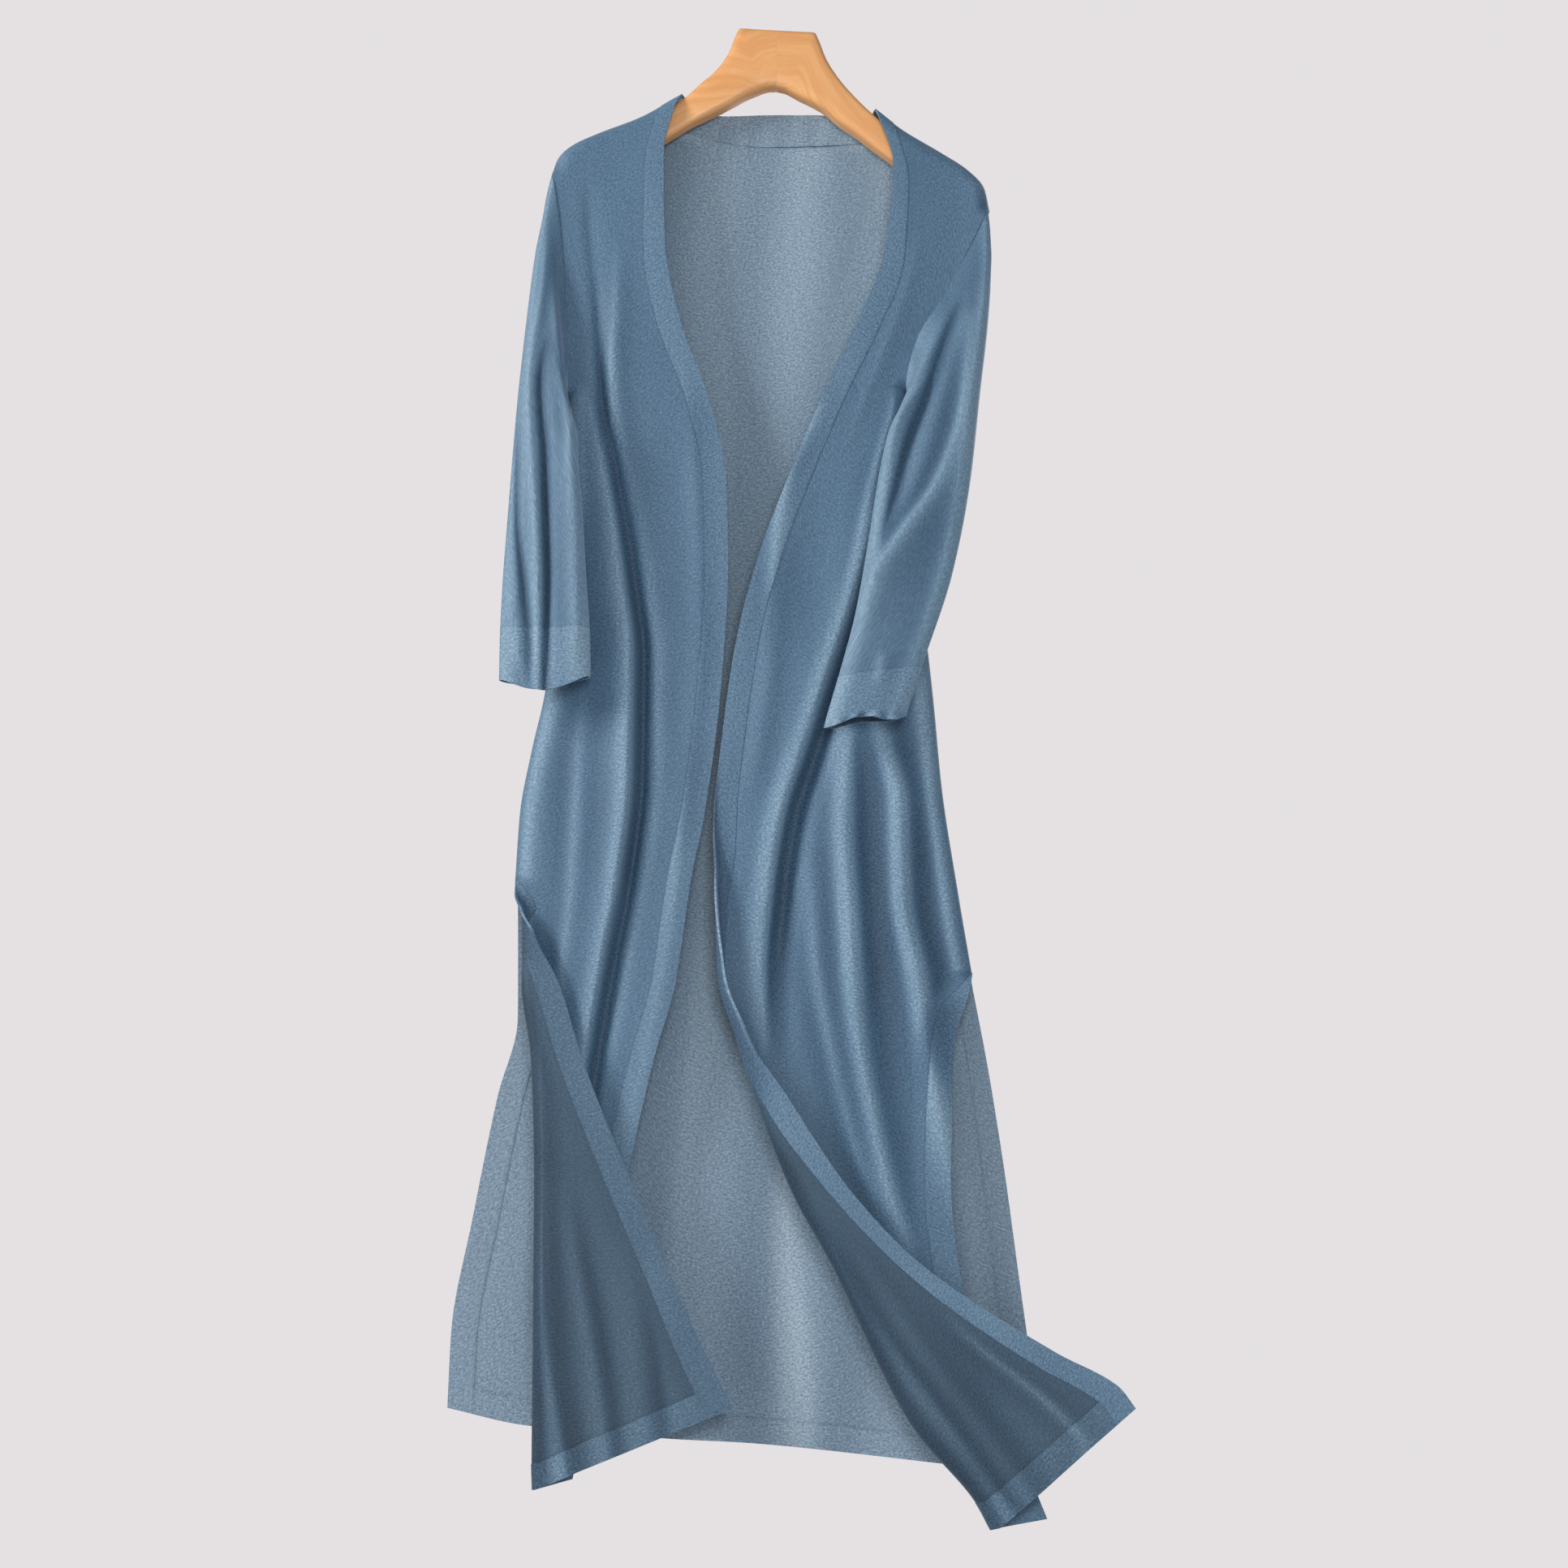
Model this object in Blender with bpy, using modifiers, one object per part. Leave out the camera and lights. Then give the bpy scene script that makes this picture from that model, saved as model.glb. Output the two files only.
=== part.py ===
# Long open-front knit cardigan hanging on a two-piece wooden hanger.
# Sizes are in millimetres and are turned into metres when a mesh is made.
# +X is the wearer's left, -Y is the front, +Z is up, zero is the middle of the hanger's flat top.
import bpy
import bmesh
import numpy as np

for old in list(bpy.data.objects):
    bpy.data.objects.remove(old, do_unlink=True)

METRE = 0.001
KNIT = 1.2             # one layer of cloth
DOUBLE = 2.0           # turned and stitched cloth of bands, hems and cuffs
SEAM = 0.3             # clearance between two pieces sewn together
APART = 0.4            # how far a front and the back each stay off the plane that holds their seams
EDGE = 0.5             # cloth left off a panel along its armhole and side seam, where walls turn
ARM_EDGE = 0.5         # cloth left off a sleeve where it turns out of the armhole
HALF_DEPTH = 16.0      # body cloth in front of or behind the hanger's middle plane
ROUND = 14.0           # distance in which the cloth turns round a shoulder or a side
BAND = 20.5            # width of the band down a front edge
HEM = 21.0
SLIT_BAND = 22.0
SLIT_TAPER = 34.0      # length in which a slit band reaches its full width
TURN = 7.5             # radius of a front's turned corner at its fold

# One row a section, from the armhole's top to the slit's top, wearer's right side.
SIDE_RIGHT = (("z", "x"),
              (-137, -201), (-190, -193), (-244, -188), (-300, -184.5), (-350, -184),
              (-425, -182), (-505, -188), (-615, -200), (-668, -211), (-722, -220), (-778, -223))
SIDE_LEFT = (("z", "x"),
             (-172, 190), (-215, 170), (-254, 150), (-299, 124), (-343, 114),
             (-422, 114), (-503, 122), (-576, 131), (-627, 136), (-699, 142), (-791, 155), (-861, 166))
UNDERARM_RIGHT = -350
UNDERARM_LEFT = -343

# Shoulder seams on top of the hanger's arms, from the neck outward.
SHOULDER_RIGHT = (("x", "z"),
                  (-84, -61), (-91, -65), (-122, -83.5), (-162, -100), (-184, -111), (-196, -123), (-201, -137))
SHOULDER_LEFT = (("x", "z"),
                 (88, -75), (94, -80), (112, -95), (148, -118), (172, -135), (186, -152), (190, -172))

# Wearer's right front: its front edge hangs, the slit corner is folded over to the front.
FRONT_RIGHT = (("edge x", "edge z", "side x", "side z", "free x", "free z", "turn", "edge y", "side y", "shoulder"),
               (-84, -61, -201, -137, -201, -137, 0, -16, -16, 1.0),
               (-92, -80, -198, -152, -198, -152, 0, -16, -16, 0.9),
               (-101, -124, -193, -190, -193, -190, 0, -17, -16, 0.5),
               (-99, -209, -186.5, -244, -186.5, -244, 0, -18, -16, 0.1),
               (-84, -285, -181, -300, -181, -300, 0, -18, -16, 0.0),
               (-60, -352, -184, -350, -184, -350, 0, -18, -16, 0.0),
               (-44, -427, -181, -425, -181, -425, 0, -18, -16, 0.0),
               (-42, -508, -188, -505, -188, -505, 0, -18, -16, 0.0),
               (-48, -617, -200, -615, -200, -615, 0, -18, -16, 0.0),
               (-61, -724, -220, -722, -220, -722, 0, -18, -14, 0.0),
               (-72, -780, -223, -778, -213, -784, 0, -17, -12, 0.0),
               (-79, -829, -219, -829, -201, -834, 165, -17, -11, 0.0),
               (-85, -871, -219, -871, -182, -874, 180, -17, -11, 0.0),
               (-103, -937, -210, -936, -161, -939, 180, -17, -11, 0.0),
               (-123, -1028, -206, -1028, -124, -1030, 180, -16, -11, 0.0),
               (-142, -1136, -205, -1135, -79, -1133, 180, -15, -11, 0.0),
               (-163, -1261, -204, -1271, -45, -1205, 180, -14, -11, 0.0),
               (-167, -1282, -203, -1292, -34, -1225, 180, -14, -11, 0.0))

# Wearer's left front: its slit edge hangs, the front corner is folded over to the front.
FRONT_LEFT = (("edge x", "edge z", "side x", "side z", "free x", "free z", "turn", "edge y", "side y", "shoulder"),
              (190, -172, 88, -75, 88, -75, 0, -16, -16, 1.0),
              (184, -184, 93, -92, 93, -92, 0, -16, -16, 0.9),
              (169, -215, 104, -132, 104, -132, 0, -16, -17, 0.5),
              (149, -254, 96, -215, 96, -215, 0, -16, -18, 0.1),
              (124, -299, 72, -280, 72, -280, 0, -16, -18, 0.0),
              (114, -343, 44, -343, 44, -343, 0, -16, -18, 0.0),
              (112, -422, 10, -427, 10, -427, 0, -16, -18, 0.0),
              (122, -503, -19, -508, -19, -508, 0, -16, -18, 0.0),
              (131, -576, -36, -580, -36, -580, 0, -16, -18, 0.0),
              (136, -627, -46, -652, -40, -652, 0, -16, -18, 0.0),
              (142, -699, -53, -724, -45, -724, 30, -16, -18, 0.0),
              (155, -791, -55, -795, -46, -796, 110, -16, -18, 0.0),
              (166, -861, -53, -865, -42, -866, 160, -15, -18, 0.0),
              (149, -930, -37, -920, -20, -924, 180, -14, -19, 0.0),
              (147, -985, -18, -978, 8, -966, 180, -14, -19, 0.0),
              (146, -1040, 9, -1048, 64, -1050, 180, -14, -18, 0.0),
              (152, -1110, 42, -1108, 120, -1108, 180, -14, -18, 0.0),
              (187, -1222, 108, -1241, 229, -1179, 180, -14, -18, 0.0),
              (214, -1294, 159, -1301, 281, -1207, 180, -14, -18, 0.0),
              (222, -1314, 171, -1323, 295, -1225, 180, -14, -18, 0.0))

# The back's own edges below the slits and the line of its hem.
BACK_SLIT_RIGHT = (("z", "x"), (-778, -223), (-825, -222), (-898, -221), (-964, -237), (-1066, -256),
                   (-1161, -272), (-1224, -274))
BACK_SLIT_LEFT = (("z", "x"), (-861, 166), (-945, 181), (-1034, 194), (-1108, 203), (-1164, 210), (-1279, 224))
BACK_HEM = (("x", "z"), (-274, -1224), (-210, -1238), (-92, -1249), (-18, -1253), (134, -1269), (224, -1279))
NECK_SEAM = (("x", "z"), (-101.5, -72), (-95, -82), (-82, -91), (-57, -98), (-12, -104), (32, -103),
             (72, -101), (90, -98), (104, -88.5))
NECK_EDGE = (("x", "z"), (-84, -61), (-80, -58.5), (-75, -63), (-67, -72), (-47, -74), (-5, -73), (37, -73),
             (60, -76), (76, -81), (88, -75))

# Folds that stand up from a front: the line of the crest, its height, and its width on each side.
RIDGE_RIGHT = (("z", "x", "height"), (-330, -172, 0), (-396, -157, 4), (-454, -145, 7), (-527, -134, 12),
               (-585, -127, 15), (-692, -127.5, 16), (-783, -137, 15), (-846, -148, 13), (-935, -162, 9),
               (-1000, -170, 4))
RIDGE_LEFT = (("z", "x", "height"), (-360, 100, 0), (-441, 89, 5), (-514, 70, 10), (-622, 36, 13), (-672, 20, 13),
              (-728, 2.5, 13), (-798, -8, 11), (-867, -13, 6), (-940, -10, 0))
RIDGE_CUFF = (("z", "x", "height"), (-600, 64, 0), (-679, 60, 8), (-735, 58, 11), (-798, 61, 12), (-902, 67, 11),
              (-983, 80, 10), (-1057, 97, 7), (-1110, 116, 0))
RIDGE_SIDE = (("z", "x", "height"), (-600, 88, 0), (-658, 91, 8), (-714, 104, 11), (-798, 106, 12), (-867, 119, 11),
              (-929, 127, 9), (-1004, 139, 5), (-1080, 146, 0))
FLAP_RIGHT = (("z", "x", "height"), (-900, -205, 0), (-955, -201, 3), (-1070, -192, 6), (-1163, -183, 8),
              (-1280, -163, 9))
FLAP_LEFT = (("z", "x", "height"), (-1000, 20, 0), (-1100, 78, 4), (-1180, 130, 7), (-1260, 190, 8),
             (-1310, 225, 8))

# Sleeves: one row a ring, each a flattened loop between its outer and its inner fold.
SLEEVE_RIGHT = (("outer x", "outer z", "inner x", "inner z", "outer y", "inner y", "half depth"),
                (-202, -137.5, -185, -350.5, 0, 0, 16),
                (-206, -158, -191, -353, -2, -7, 15),
                (-209, -182, -192, -360, -5, -18, 14),
                (-214, -215, -185, -371, -9, -30, 13),
                (-220, -280, -176, -392, -19, -39, 12),
                (-226, -360, -172, -420, -30, -43, 11),
                (-231, -455, -168, -465, -40, -45, 10),
                (-235, -535, -163, -535, -44, -46, 10),
                (-236, -575, -160, -575, -45, -47, 9),
                (-236, -615, -159, -612, -45, -47, 9))
SLEEVE_LEFT = (("outer x", "outer z", "inner x", "inner z", "outer y", "inner y", "half depth"),
               (191, -172.5, 115, -343.5, 0, 0, 16),
               (192, -190, 122, -347, -2, -7, 15),
               (192, -210, 124, -354, -5, -18, 14),
               (190, -240, 116, -367, -9, -30, 13),
               (186, -285, 102, -388, -19, -41, 12),
               (178, -350, 90, -428, -30, -44, 11),
               (167, -440, 80, -490, -40, -47, 11),
               (151, -520, 68, -558, -44, -49, 10),
               (126, -597, 55, -608, -47, -50, 9),
               (110, -645, 41, -657, -47, -50, 9))
CUFF = 44.0

# Hanger: one row a section from the middle joint to the tip, upper and lower line and half its depth.
HANGER_RIGHT = (("upper x", "upper z", "lower x", "lower z", "half depth"),
                (0, 0, 0, -55, 12), (-18, 1, -7, -55.5, 12), (-33, 2, -12, -57, 12), (-37.5, -6, -18, -59.5, 12),
                (-43, -21, -27, -63.5, 12), (-54, -38, -40, -71, 11.5), (-71, -54, -57, -80, 11),
                (-80, -63, -65.5, -84.5, 10.5), (-89, -69, -74, -89, 9.5), (-122, -88.5, -107, -110, 9.5), (-160, -106, -147, -131, 9.5),
                (-179, -117, -168, -141, 9), (-187, -126, -179, -145, 7.5), (-190.5, -132, -186, -143, 4))
HANGER_LEFT = (("upper x", "upper z", "lower x", "lower z", "half depth"),
               (0, 0, 0, -55, 12), (18, -1, 8, -57, 12), (34, -2, 14, -60.5, 12), (38, -9, 20, -64, 12),
               (45, -28, 30, -69, 12), (57, -48, 43, -77, 11.5), (71, -65, 56, -89, 11),
               (85, -79.5, 70, -99, 10.5), (110, -100, 96, -120, 10), (145, -124.5, 131, -146, 9.5),
               (167, -140.5, 155, -163, 9), (177, -152, 168, -172, 7.5), (181, -159, 175, -172, 4))


def table(rows):
    return np.array(rows[1:], float)


def smooth(at, knots, values):
    """Monotone cubic through the rows of a table."""
    at = np.asarray(at, float)
    knots = np.asarray(knots, float)
    values = np.asarray(values, float)
    flat = values.ndim == 1
    if flat:
        values = values[:, None]
    step = np.diff(knots)[:, None]
    slope = np.diff(values, axis=0) / step
    tangent = np.zeros_like(values)
    tangent[0] = slope[0]
    tangent[-1] = slope[-1]
    before, after = slope[:-1], slope[1:]
    same = before * after > 0
    total = np.where(same, before + after, 1.0)
    tangent[1:-1] = np.where(same, 2 * before * after / total, 0.0)
    cell = np.clip(np.searchsorted(knots, at, side="right") - 1, 0, len(knots) - 2)
    width = step[cell]
    part = np.clip((at - knots[cell])[:, None] / width, 0.0, 1.0)
    found = (values[cell] * (1 + 2 * part) * (1 - part) ** 2
             + tangent[cell] * width * part * (1 - part) ** 2
             + values[cell + 1] * part ** 2 * (3 - 2 * part)
             + tangent[cell + 1] * width * part ** 2 * (part - 1))
    return found[:, 0] if flat else found


def lengths(points):
    """Distance walked along each row of points."""
    walked = np.linalg.norm(np.diff(points, axis=-2), axis=-1)
    return np.concatenate([np.zeros_like(walked[..., :1]), np.cumsum(walked, axis=-1)], axis=-1)


def walk(points, distance):
    """Points of one polyline at the given distances from its start."""
    passed = lengths(points)
    return np.stack([np.interp(distance, passed, points[:, axis]) for axis in range(points.shape[1])], axis=-1)


def byHeight(rows):
    """Dense line (x, z) of a table whose first column is a falling z."""
    data = table(rows)
    level = np.linspace(data[0, 0], data[-1, 0], 160)
    return np.stack([smooth(-level, -data[:, 0], data[:, 1]), level], axis=-1)


def byRow(rows):
    """Dense line through the rows of a table of points."""
    data = table(rows)
    passed = lengths(data)
    return smooth(np.linspace(0, passed[-1], 160), passed, data)


def apart(points, line):
    """Shortest distance in the X-Z plane from each point to a line."""
    nearest = np.full(points.shape[:-1], 1e6)
    for start, end in zip(line[:-1], line[1:]):
        run = end - start
        part = np.clip(((points - start) @ run) / (run @ run), 0.0, 1.0)
        gap = np.linalg.norm(points - (start + part[..., None] * run), axis=-1)
        nearest = np.minimum(nearest, gap)
    return nearest


def turning(distance):
    """Quarter of an ellipse: 0 on a seam at the side or top, 1 from ROUND millimetres inward."""
    part = np.clip(distance / ROUND, 0.0, 1.0)
    return np.sqrt(1 - (1 - part) ** 2)


sideRight = byHeight(SIDE_RIGHT)
sideLeft = byHeight(SIDE_LEFT)
shoulderRight = byRow(SHOULDER_RIGHT)
shoulderLeft = byRow(SHOULDER_LEFT)
seamRight = sideRight[sideRight[:, 1] <= UNDERARM_RIGHT + 1.5]
seamLeft = sideLeft[sideLeft[:, 1] <= UNDERARM_LEFT + 1.5]


def bodyDepth(points):
    """Share of the full depth at points in the X-Z plane, 0 on the shoulder and side seams."""
    top = np.minimum(apart(points, shoulderRight), apart(points, shoulderLeft))
    side = np.minimum(apart(points, seamRight), apart(points, seamLeft))
    return turning(top) * turning(side)


def ridge(points, rows, rise, fall, hollow):
    """Height of one fold: rises over one width, falls over the other, then a shallow hollow."""
    data = table(rows)
    level = np.clip(points[..., 1], data[-1, 0], data[0, 0])
    crest = smooth(-level.ravel(), -data[:, 0], data[:, 1:]).reshape(level.shape + (2,))
    across = points[..., 0] - crest[..., 0]
    width = np.where(across < 0, rise, fall)
    height = crest[..., 1]
    inside = (points[..., 1] <= data[0, 0] + 1) & (points[..., 1] >= data[-1, 0] - 40)
    bump = height * np.exp(-(across / width) ** 2)
    dip = hollow * height * np.exp(-((across - fall * 2.2) / (fall * 1.3)) ** 2)
    return np.where(inside, bump - dip, 0.0)


def frontRows(rows, level, side, shoulder, folds, flapFolds):
    """Lines across a front at the given distances down it, 240 points each."""
    data = table(rows)
    spacing = (lengths(data[:, 0:2]) + lengths(data[:, 2:4])) / 2
    found = smooth(level, spacing, data)
    base = walk(shoulder, np.linspace(0, lengths(shoulder)[-1], 120))
    if data[0, 0] > 0:
        base = base[::-1]
    straight = base[0] + np.linspace(0, 1, 120)[:, None] * (base[-1] - base[0])
    bow = base - straight
    sheet, creases = [], []
    for row in found:
        edge, fold, free = row[0:2].copy(), row[2:4].copy(), row[4:6].copy()
        hung = edge if data[0, 0] > 0 else fold
        if hung[1] > side[-1, 1]:
            hung[0] = np.interp(-hung[1], -side[:, 1], side[:, 0])
        along = (fold - edge) / np.linalg.norm(fold - edge)
        angle = np.radians(max(row[6], 0.0))
        reach = TURN * min(angle, np.pi / 2)
        stop = fold - along * reach
        share = (1 - np.cos(np.pi * np.linspace(0, 1, 120))) / 2
        flat = edge + share[:, None] * (stop - edge)
        flat = flat + row[9] * np.stack([np.interp(share, np.linspace(0, 1, 120), bow[:, 0]),
                                         np.interp(share, np.linspace(0, 1, 120), bow[:, 1])], axis=-1)
        depth = (row[7] + share * (row[8] - row[7])) * bodyDepth(flat) - APART
        for fold_rows, rise, fall, hollow in folds:
            depth = depth - ridge(flat, fold_rows, rise, fall, hollow)
        lower = np.column_stack([flat[:, 0], depth, flat[:, 1]])
        if angle < 0.02:
            whole = lengths(lower)[-1]
            sheet.append(walk(lower, np.linspace(0, whole, 240)))
            creases.append((whole, whole))
            continue
        swing = np.linspace(0, angle, 24)[1:]
        bend = np.column_stack([stop[0] + along[0] * TURN * np.sin(swing),
                                depth[-1] - TURN * (1 - np.cos(swing)),
                                stop[1] + along[1] * TURN * np.sin(swing)])
        heading = free - stop
        span = np.linalg.norm(heading)
        turned = (1 - np.cos(angle)) / 2
        heading = (1 - turned) * along + turned * heading / span
        part = np.linspace(0, 1, 60)[1:, None]
        rest = max(span - 1.0, 0.5) * turned
        start = bend[-1]
        plane = np.column_stack([start[0] + part * rest * heading[0], start[2] + part * rest * heading[1]])
        lift = part[:, 0] * (rest * np.sin(angle) + 2.0 * turned)
        for fold_rows, rise, fall, hollow in flapFolds:
            lift = lift + ridge(plane, fold_rows, rise, fall, hollow) * turning(part[:, 0] * rest)
        upper = np.column_stack([plane[:, 0], start[1] - lift, plane[:, 1]])
        whole = np.vstack([lower, bend, upper])
        sheet.append(walk(whole, np.linspace(0, lengths(whole)[-1], 400)))
        creases.append((lengths(lower)[-1], lengths(lower)[-1] + TURN * angle))
    return sheet, creases


def across(sheet, start, stop, share, creases=None, fixed=(6, 4, 7)):
    """Cut a strip out of rows of points; start and stop are distances, negative from the far edge.
    Where a row turns over, columns gather so that the same ones stay on the turn."""
    share = np.asarray(share, float)
    strip = []
    for index, (line, first, last) in enumerate(zip(sheet, start, stop)):
        whole = lengths(line)[-1]
        first = first if first >= 0 else whole + first
        last = last if last > 0 else whole + last
        even = first + share * (last - first)
        if creases:
            begin, end = creases[index]
            weight = np.clip(min(begin - first, last - end) / 35.0 - 0.1, 0.0, 1.0)
            if weight > 0:
                held = np.interp(np.arange(len(share)), np.cumsum([0, *fixed]), [first, begin, end, last])
                even = (1 - weight) * even + weight * held
        strip.append(walk(line, even))
    return np.array(strip)


def cells(count, near=(), far=()):
    """Even shares of a width, with closer columns at the given shares from either edge."""
    even = np.linspace(0, 1, count + 1 - len(near) - len(far))
    return np.sort(np.concatenate([even, near, 1 - np.array(far)]))


garment = bpy.data.collections.new("duster_cardigan")
bpy.context.scene.collection.children.link(garment)


def material(name, colour, roughness):
    made = bpy.data.materials.new(name)
    made.use_nodes = True
    shader = made.node_tree.nodes["Principled BSDF"]
    shader.inputs["Base Color"].default_value = (*colour, 1.0)
    shader.inputs["Roughness"].default_value = roughness
    shader.inputs["Metallic"].default_value = 0.0
    return made


def place(name, points, look, wall, closed=False):
    """Make one piece from a grid whose points are moved onto the given rows."""
    tall, wide = points.shape[0], points.shape[1]
    shape = bmesh.new()
    bmesh.ops.create_grid(shape, x_segments=wide - 1, y_segments=tall - 1, size=1.0)
    shape.verts.ensure_lookup_table()
    for index, vertex in enumerate(shape.verts):
        vertex.co = points[index // wide, index % wide] * METRE
    if closed:
        bmesh.ops.remove_doubles(shape, verts=shape.verts, dist=0.00001)
    if not wall:
        bmesh.ops.holes_fill(shape, edges=shape.edges, sides=0)
        bmesh.ops.recalc_face_normals(shape, faces=shape.faces)
    mesh = bpy.data.meshes.new(name)
    shape.to_mesh(mesh)
    shape.free()
    piece = bpy.data.objects.new(name, mesh)
    garment.objects.link(piece)
    mesh.materials.append(look)
    if wall:
        thick = piece.modifiers.new("wall", "SOLIDIFY")
        thick.thickness = wall * METRE
        thick.offset = 0.0
        thick.use_even_offset = False
    return piece


knit = (0.095, 0.180, 0.290)
bandBlue = (0.085, 0.165, 0.270)


def buildFront(name, rows, side, shoulder, folds, flapFolds, slitTop, bandFirst, fixed):
    """A front: panel, front band, slit band and hem cut out of one draped sheet."""
    data = table(rows)
    spacing = (lengths(data[:, 0:2]) + lengths(data[:, 2:4])) / 2
    slit = np.interp(-slitTop, -data[:, 3 if bandFirst else 1], spacing)
    hemLine = spacing[-2]
    turnIn = [0.0, 2.0, 6.0, 12.0]
    under = spacing[5]
    between = (spacing[2:5] + spacing[3:6]) / 2 - 3
    level = sorted(set(turnIn + list(spacing[2:5]) + list(between) + [under - 10, under - 4, under]
                       + list(np.linspace(under, hemLine - SEAM / 2, 30)[1:])))
    level = np.array([item for item in level if item <= hemLine])
    hemLevel = np.array([hemLine + SEAM / 2, (hemLine + spacing[-1]) / 2, spacing[-1]])
    sheet, creases = frontRows(rows, level, side, shoulder, folds, flapFolds)
    foot, footCreases = frontRows(rows, hemLevel, side, shoulder, folds, flapFolds)
    long = sheet + foot
    longLevel = np.concatenate([level, hemLevel])
    whole = np.array([lengths(line)[-1] for line in long])
    slitSide = SLIT_BAND * np.clip((longLevel - slit) / SLIT_TAPER, 0.0, 1.0)
    gap = SEAM
    top = len(level)
    if bandFirst:
        bandFrom, bandTo = np.zeros(len(long)), np.full(len(long), BAND - gap)
        panelFrom, panelTo = bandTo + 2 * gap, whole - slitSide - EDGE
        slitFrom, slitTo = whole - slitSide + EDGE, whole - 0.01
        hemTo, hemFrom = whole - SLIT_BAND - gap, bandTo + 2 * gap
    else:
        bandFrom, bandTo = whole - BAND + gap, whole
        panelFrom, panelTo = slitSide + EDGE, bandFrom - 2 * gap
        slitFrom, slitTo = np.full(len(long), 0.01), slitSide - EDGE
        hemFrom, hemTo = np.full(len(long), SLIT_BAND + gap), bandFrom - 2 * gap
    near = cells(17, near=(0.014, 0.04), far=(0.014, 0.04))
    toSeam = np.array([0, 0.34, 0.66, 0.88, 1])
    place(name, across(sheet, panelFrom[:top], panelTo[:top], near, creases, fixed),
          material(name, knit, 0.85), KNIT)
    place(name + "_band", across(long, bandFrom, bandTo, toSeam if bandFirst else 1 - toSeam[::-1]),
          material(name + "_band", bandBlue, 0.9), DOUBLE)
    opened = np.flatnonzero(longLevel > slit + 25)
    place(name + "_slit_band",
          across([long[item] for item in opened], slitFrom[opened], slitTo[opened],
                 1 - toSeam[::-1] if bandFirst else toSeam),
          material(name + "_slit_band", bandBlue, 0.9), DOUBLE)
    place(name + "_hem", across(foot, hemFrom[top:], hemTo[top:], near, footCreases, fixed),
          material(name + "_hem", bandBlue, 0.9), DOUBLE)


buildFront("right_front", FRONT_RIGHT, sideRight, shoulderRight,
           ((RIDGE_RIGHT, 30.0, 8.0, 0.2),), ((FLAP_RIGHT, 9.0, 26.0, 0.0),), SIDE_RIGHT[-1][0], True, (6, 4, 7))
buildFront("left_front", FRONT_LEFT, sideLeft, shoulderLeft,
           ((RIDGE_LEFT, 34.0, 9.0, 0.2), (RIDGE_CUFF, 16.0, 14.0, 0.1), (RIDGE_SIDE, 16.0, 12.0, 0.2)),
           ((FLAP_LEFT, 30.0, 30.0, 0.0),), SIDE_LEFT[-1][0], False, (7, 4, 6))


def backSheet(part):
    """The back as one sheet between its four edges; part runs 0 to 3 from top to underarm, slit and hem."""
    neck = byRow(NECK_SEAM)
    outer = walk(shoulderRight, np.linspace(lengths(shoulderRight)[-1], 20.6, 60))
    inner = walk(shoulderLeft, np.linspace(20.6, lengths(shoulderLeft)[-1], 60))
    top = np.vstack([outer, neck[1:-1], inner])
    hem = byRow(BACK_HEM)
    count = 260
    share = np.linspace(0, 1, count)
    top = walk(top, share * lengths(top)[-1])
    hem = walk(hem, share * lengths(hem)[-1])

    def edge(side, slit, underarm):
        arm = side[side[:, 1] >= underarm]
        body = side[side[:, 1] <= underarm]
        low = byHeight(slit)
        pieces = []
        for at in part:
            line = (arm, body, low)[min(int(at), 2)]
            rest = at - min(int(at), 2)
            pieces.append(walk(line, rest * lengths(line)[-1]))
        return np.array(pieces)

    right = edge(sideRight, BACK_SLIT_RIGHT, UNDERARM_RIGHT)
    left = edge(sideLeft, BACK_SLIT_LEFT, UNDERARM_LEFT)
    fall = lengths(right) / lengths(right)[-1]
    rows = []
    for at, start, end in zip(fall, right, left):
        line = ((1 - at) * top + at * hem
                + (1 - share)[:, None] * (start - (1 - at) * top[0] - at * hem[0])
                + share[:, None] * (end - (1 - at) * top[-1] - at * hem[-1]))
        wave = 2.5 * at * np.sin(line[:, 0] / 38.0 + 0.8) * turning((1 - at) * 60)
        depth = (HALF_DEPTH + 1.5 * at + wave) * bodyDepth(line) + APART
        rows.append(np.column_stack([line[:, 0], depth, line[:, 1]]))
    return np.array(rows)


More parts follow.
